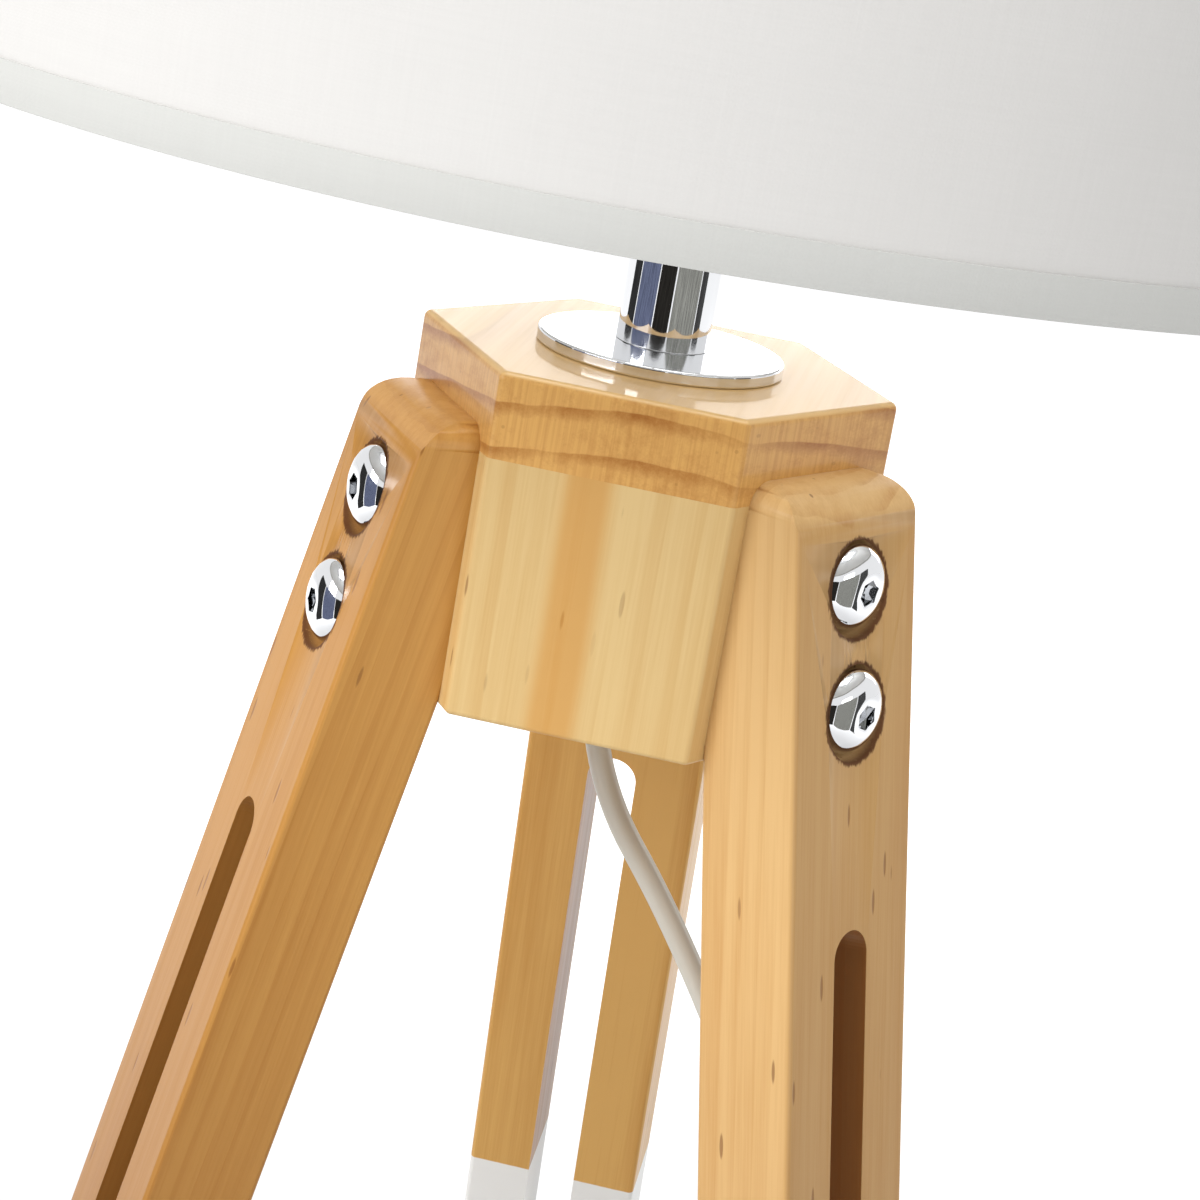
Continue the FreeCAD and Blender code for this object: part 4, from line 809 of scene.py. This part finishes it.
def cloth_overlap(half_width=5.0, columns=8):
    """Where the cloth's two ends lap at the back, a second thickness."""
    outer, inner = FABRIC_R + 0.22, FABRIC_R - 0.1
    bm = bmesh.new()
    uv = bm.loops.layers.uv.new("around")
    rows = []
    for k in range(columns + 1):
        turn = math.pi / 2 + (2 * k / columns - 1) * half_width / FABRIC_R
        rows.append([bm.verts.new((r * MM * math.cos(turn), r * MM * math.sin(turn), z * MM))
                     for r, z in ((inner, 406.2), (outer, 406.2), (outer, 593.8), (inner, 593.8))])
    for a, b in zip(rows, rows[1:]):
        for k in range(4):
            bm.faces.new([a[k], a[(k + 1) % 4], b[(k + 1) % 4], b[k]])
    bm.faces.new(rows[0])
    bm.faces.new(rows[-1])
    bmesh.ops.recalc_face_normals(bm, faces=bm.faces)
    for face in bm.faces:
        for loop in face.loops:
            loop[uv].uv = (math.atan2(loop.vert.co.y, loop.vert.co.x) * FABRIC_R * MM, loop.vert.co.z)
    return from_bmesh("cloth_overlap", bm)


finished("shade_seam", cloth_overlap(), "shade", SHADE_CLOTH, "shade_cloth", sharp=30.0)


# ------------------------------------------------------------------ cord
def polar(radius, degrees):
    return Vector((radius * math.cos(math.radians(degrees)), radius * math.sin(math.radians(degrees)), 0.0))


HANG = [(3.0, 0.0, 0.957), (18.6, 0.2, 0.89), (37.5, 0.6, 0.786), (51.5, 0.9, 0.655), (59.0, 1.2, 0.517),
        (62.3, 1.0, 0.383), (63.2, 0.4, 0.241), (63.2, 0.0, 0.103), (73.2, -0.2, 0.043)]
LEAD_FLOOR = [(90.5, -0.3), (108.8, -0.2), (123.5, 8.3)]
SWITCH = Vector((132.0, 71.0, 5.5))
SWITCH_HALF = 31.0
MID_FLOOR = [(125.2, 130.4), (113.05, 139.2), (97.2, 141.65), (75.5, 132.5), (44.0, 107.3), (15.6, 83.0)]
COIL_CENTRE = Vector((-41.75, 29.65, 0.0))
COIL_START = 99.8
COIL_INNER, COIL_PITCH, COIL_RISE, COIL_LOW, COIL_HALVES = 22.0, 6.4, 6.2, 3.4, 5
TAIL_RUN, TAIL_TURN, TAIL_TURNS, PLUG_Z = 14.0, -24.95, 4, 7.0


def coil_stations():
    n = COIL_HALVES
    wide = COIL_INNER + n * COIL_PITCH / 2
    stations = [(wide - i * COIL_PITCH / 2, COIL_LOW) for i in range(n + 1)]
    return stations + [(COIL_INNER + i * COIL_PITCH / 2, COIL_LOW + COIL_RISE) for i in range(n + 1)]


def coil_points(each=8):
    """Control points of the coil's turns, a little wide because the spline runs inside them."""
    stations = coil_stations()
    wide = 1.0 / (0.75 + 0.25 * math.cos(math.pi / each))
    points = []
    for i in range(len(stations) - 1):
        (r0, z0), (r1, z1) = stations[i], stations[i + 1]
        base = COIL_START + 180.0 * i
        centre = COIL_CENTRE + polar((r0 - r1) / 2, base)
        for k in range(each):
            share = (k + 0.5) / each
            z = z0 + (z1 - z0) * (0.5 - 0.5 * math.cos(math.pi * share))
            points.append(centre + polar((r0 + r1) / 2 * wide, base + 180.0 * share) + Vector((0, 0, z)))
    return points


def cord_route():
    """The cord's points from the grip to the plug, in mm."""
    up = Vector((0, 1, 0))
    start = Vector(CORD_EXIT)
    route = [start] + [Vector((x, y, CORD_EXIT[2] * share)) for x, y, share in HANG]
    route += [Vector((x, y, 2.5)) for x, y in LEAD_FLOOR]
    near, far = SWITCH - up * SWITCH_HALF, SWITCH + up * SWITCH_HALF
    route += [near - up * 17.0, near, far, far + up * 15.0]
    route += [Vector((x, y, 2.5)) for x, y in MID_FLOOR]
    stations = coil_stations()
    first = COIL_CENTRE + polar(stations[0][0], COIL_START) + Vector((0, 0, COIL_LOW))
    route += [first - polar(33.0, COIL_START + 90.0)]
    route += coil_points()
    count = len(stations) - 1
    here = COIL_CENTRE + polar(stations[-1][0], COIL_START + 180.0 * count) + Vector((0, 0, stations[-1][1]))
    azimuth = COIL_START + 180.0 * count + 90.0
    drop = (here.z - PLUG_Z) / (TAIL_TURNS - 1)
    for k in range(TAIL_TURNS + 1):
        level = k == 0 or k == TAIL_TURNS
        here = here + polar(TAIL_RUN, azimuth) - Vector((0, 0, 0.0 if level else drop))
        route.append(here)
        azimuth += TAIL_TURN
    return route


def smooth_path(route):
    """Points along the NURBS spline through the route, in metres."""
    curve = bpy.data.curves.new("route", "CURVE")
    curve.dimensions = "3D"
    curve.resolution_u = 10
    spline = curve.splines.new("NURBS")
    spline.points.add(len(route) - 1)
    for point, place in zip(spline.points, route):
        point.co = (*(place * MM), 1.0)
    spline.order_u = 3
    spline.use_endpoint_u = True
    mesh = evaluated_mesh(placed("route", curve))
    path = [v.co.copy() for v in mesh.vertices]
    bpy.data.meshes.remove(mesh)
    return path


def swept(name, path, profile, girth=0.0157):
    """A section carried along a path without twisting, and closed at both ends. UV: length along, length
    round, in metres."""
    bm = bmesh.new()
    uv = bm.loops.layers.uv.new("around")
    side = Vector((0, 1, 0))
    loops = []
    travelled = [0.0]
    for i, point in enumerate(path):
        ahead = (path[min(i + 1, len(path) - 1)] - path[max(i - 1, 0)]).normalized()
        side = (side - ahead * side.dot(ahead)).normalized()
        other = ahead.cross(side)
        if i:
            travelled.append(travelled[-1] + (point - path[i - 1]).length)
        loops.append([bm.verts.new(point + side * (x * MM) + other * (y * MM)) for x, y in profile])
    count = len(profile)
    for i in range(len(loops) - 1):
        for k in range(count):
            n = (k + 1) % count
            face = bm.faces.new([loops[i][k], loops[i][n], loops[i + 1][n], loops[i + 1][k]])
            spots = ((i, k), (i, k + 1), (i + 1, k + 1), (i + 1, k))
            for loop, (row, step) in zip(face.loops, spots):
                loop[uv].uv = (travelled[row], step * girth / count)
    bm.faces.new(list(reversed(loops[0])))
    bm.faces.new(loops[-1])
    return closed_mesh(name, bm)


def twin_profile(width=5.2, height=4.3, groove=0.3, count=32):
    """Oval of a two-core cord with a faint groove along each flat side."""
    points = []
    for angle in around(count):
        dip = groove * math.exp(-(math.cos(angle) / 0.22) ** 2)
        points.append((width / 2 * math.cos(angle), (height / 2 - dip) * math.sin(angle)))
    return points


path = smooth_path(cord_route())
cord = finished("mains_cord", swept("mains_cord", path, twin_profile()), "lamp", CORD_PVC, "cord_pvc",
                "cord_lead", "cord_mid", "cord_coil", "cord_tail", sharp=60.0)


# ------------------------------------------------------------------ camera, light and floor
def photo_camera():
    data = bpy.data.cameras.new("photo_camera")
    data.lens = 100.066
    data.sensor_width = 36.0
    data.clip_start = 0.01
    camera = placed("photo_camera", data)
    right = Vector((0.9716220, 0.1687524, 0.1657507))
    up = Vector((-0.2050762, 0.2517789, 0.9458071))
    back = right.cross(up)
    spot = Vector((0.065689, -0.553841, 0.474634))
    camera.matrix_world = Matrix.Translation(spot) @ Matrix((right, up, back)).transposed().to_4x4()
    bpy.context.scene.camera = camera


def soft_lamp(name, place, aim, width, height, power):
    data = bpy.data.lights.new(name, "AREA")
    data.shape = "RECTANGLE"
    data.size, data.size_y = width, height
    data.energy = power
    lamp = placed(name, data)
    lamp.location = place
    lamp.rotation_euler = (Vector(aim) - Vector(place)).to_track_quat("-Z", "Y").to_euler()
    lamp.visible_camera = False


def white_world(level):
    """White where the camera, mirrors and glass look; softer as a light."""
    world = bpy.data.worlds.new("white_studio")
    tree, out = cleared(world, "ShaderNodeOutputWorld")
    shown = feed(tree, add(tree, "ShaderNodeBackground"), Color=(1.0, 1.0, 1.0, 1.0), Strength=1.0)
    ambient = feed(tree, add(tree, "ShaderNodeBackground"), Color=(0.97, 0.98, 1.0, 1.0), Strength=level)
    rays = add(tree, "ShaderNodeLightPath").outputs
    mirrored = maths(tree, "MAXIMUM", rays["Is Glossy Ray"], rays["Is Transmission Ray"])
    seen = maths(tree, "MAXIMUM", rays["Is Camera Ray"], mirrored)
    blend = add(tree, "ShaderNodeMixShader")
    feed(tree, blend, i0=seen, i1=ambient.outputs[0], i2=shown.outputs[0])
    link(tree, blend.outputs[0], out.inputs[0])
    bpy.context.scene.world = world


def studio_piece(name, corners):
    """A four-cornered face of the studio, with the emptied tree and output of its own material."""
    mesh = bpy.data.meshes.new(name)
    mesh.from_pydata(corners, [], [(0, 1, 2, 3)])
    material = bpy.data.materials.new(name)
    mesh.materials.append(material)
    return placed(name, mesh), *cleared(material, "ShaderNodeOutputMaterial")


def studio_floor():
    """White paint with a glow that grows with distance, so that the shadow stays near the object."""
    floor, tree, out = studio_piece("studio_floor", [(-4, -4, 0), (4, -4, 0), (4, 4, 0), (-4, 4, 0)])
    paint = feed(tree, add(tree, "ShaderNodeBsdfDiffuse"), Color=(0.72, 0.72, 0.72, 1.0))
    rays = add(tree, "ShaderNodeLightPath").outputs
    seen = maths(tree, "MAXIMUM", rays["Is Camera Ray"], rays["Is Glossy Ray"])
    reach = vector(tree, "LENGTH", add(tree, "ShaderNodeTexCoord").outputs["Object"])
    far = spread(tree, reach, 0.2, 0.8, 0.08, 0.75)
    glow = feed(tree, add(tree, "ShaderNodeEmission"), Strength=times(tree, seen, far))
    both = feed(tree, add(tree, "ShaderNodeAddShader"), i0=paint.outputs[0], i1=glow.outputs[0])
    link(tree, both.outputs[0], out.inputs[0])


def studio_card(name, first, last, colour, reach=0.6, low=0.0, high=0.48):
    """An upright card between two azimuths that only mirror-like surfaces see, as round a product table."""
    left, right = polar(reach, first), polar(reach, last)
    card, tree, out = studio_piece(name, [end + Vector((0, 0, z)) for end, z in (
        (left, low), (right, low), (right, high), (left, high))])
    spots = noise(tree, add(tree, "ShaderNodeTexCoord").outputs["Object"], 90.0, 3.0, 0.7)
    dim = (*[c * 0.45 for c in colour], 1.0)
    tone = mix(tree, spread(tree, spots, 0.4, 0.6), dim, (*colour, 1.0))
    link(tree, feed(tree, add(tree, "ShaderNodeEmission"), Color=tone).outputs[0], out.inputs[0])
    card.visible_camera = card.visible_diffuse = card.visible_shadow = card.visible_transmission = False


photo_camera()
white_world(0.36)
studio_floor()
soft_lamp("key_softbox", (-1.15, -1.05, 1.05), (0, 0, 0.33), 1.0, 1.0, 27.0)
soft_lamp("fill_softbox", (1.2, -1.1, 0.6), (0, 0, 0.3), 1.0, 1.0, 8.0)
soft_lamp("back_softbox", (0.2, 1.5, 0.9), (0, 0, 0.34), 1.8, 0.9, 9.0)
soft_lamp("top_softbox", (0.0, 0.0, 1.7), (0, 0, 0.36), 0.7, 0.7, 9.0)

for name, first, last, colour in (
        ("card_far_left", -193.0, -168.0, (0.05, 0.05, 0.05)),
        ("card_blue", -166.0, -116.0, (0.20, 0.23, 0.36)),
        ("card_front", -114.0, -76.0, (0.035, 0.032, 0.028)),
        ("card_beige", -73.0, -10.0, (0.42, 0.42, 0.38)),
        ("card_far_right", -8.0, 10.0, (0.10, 0.10, 0.10))):
    studio_card(name, first, last, colour)

bpy.context.scene.view_settings.view_transform = "Standard"
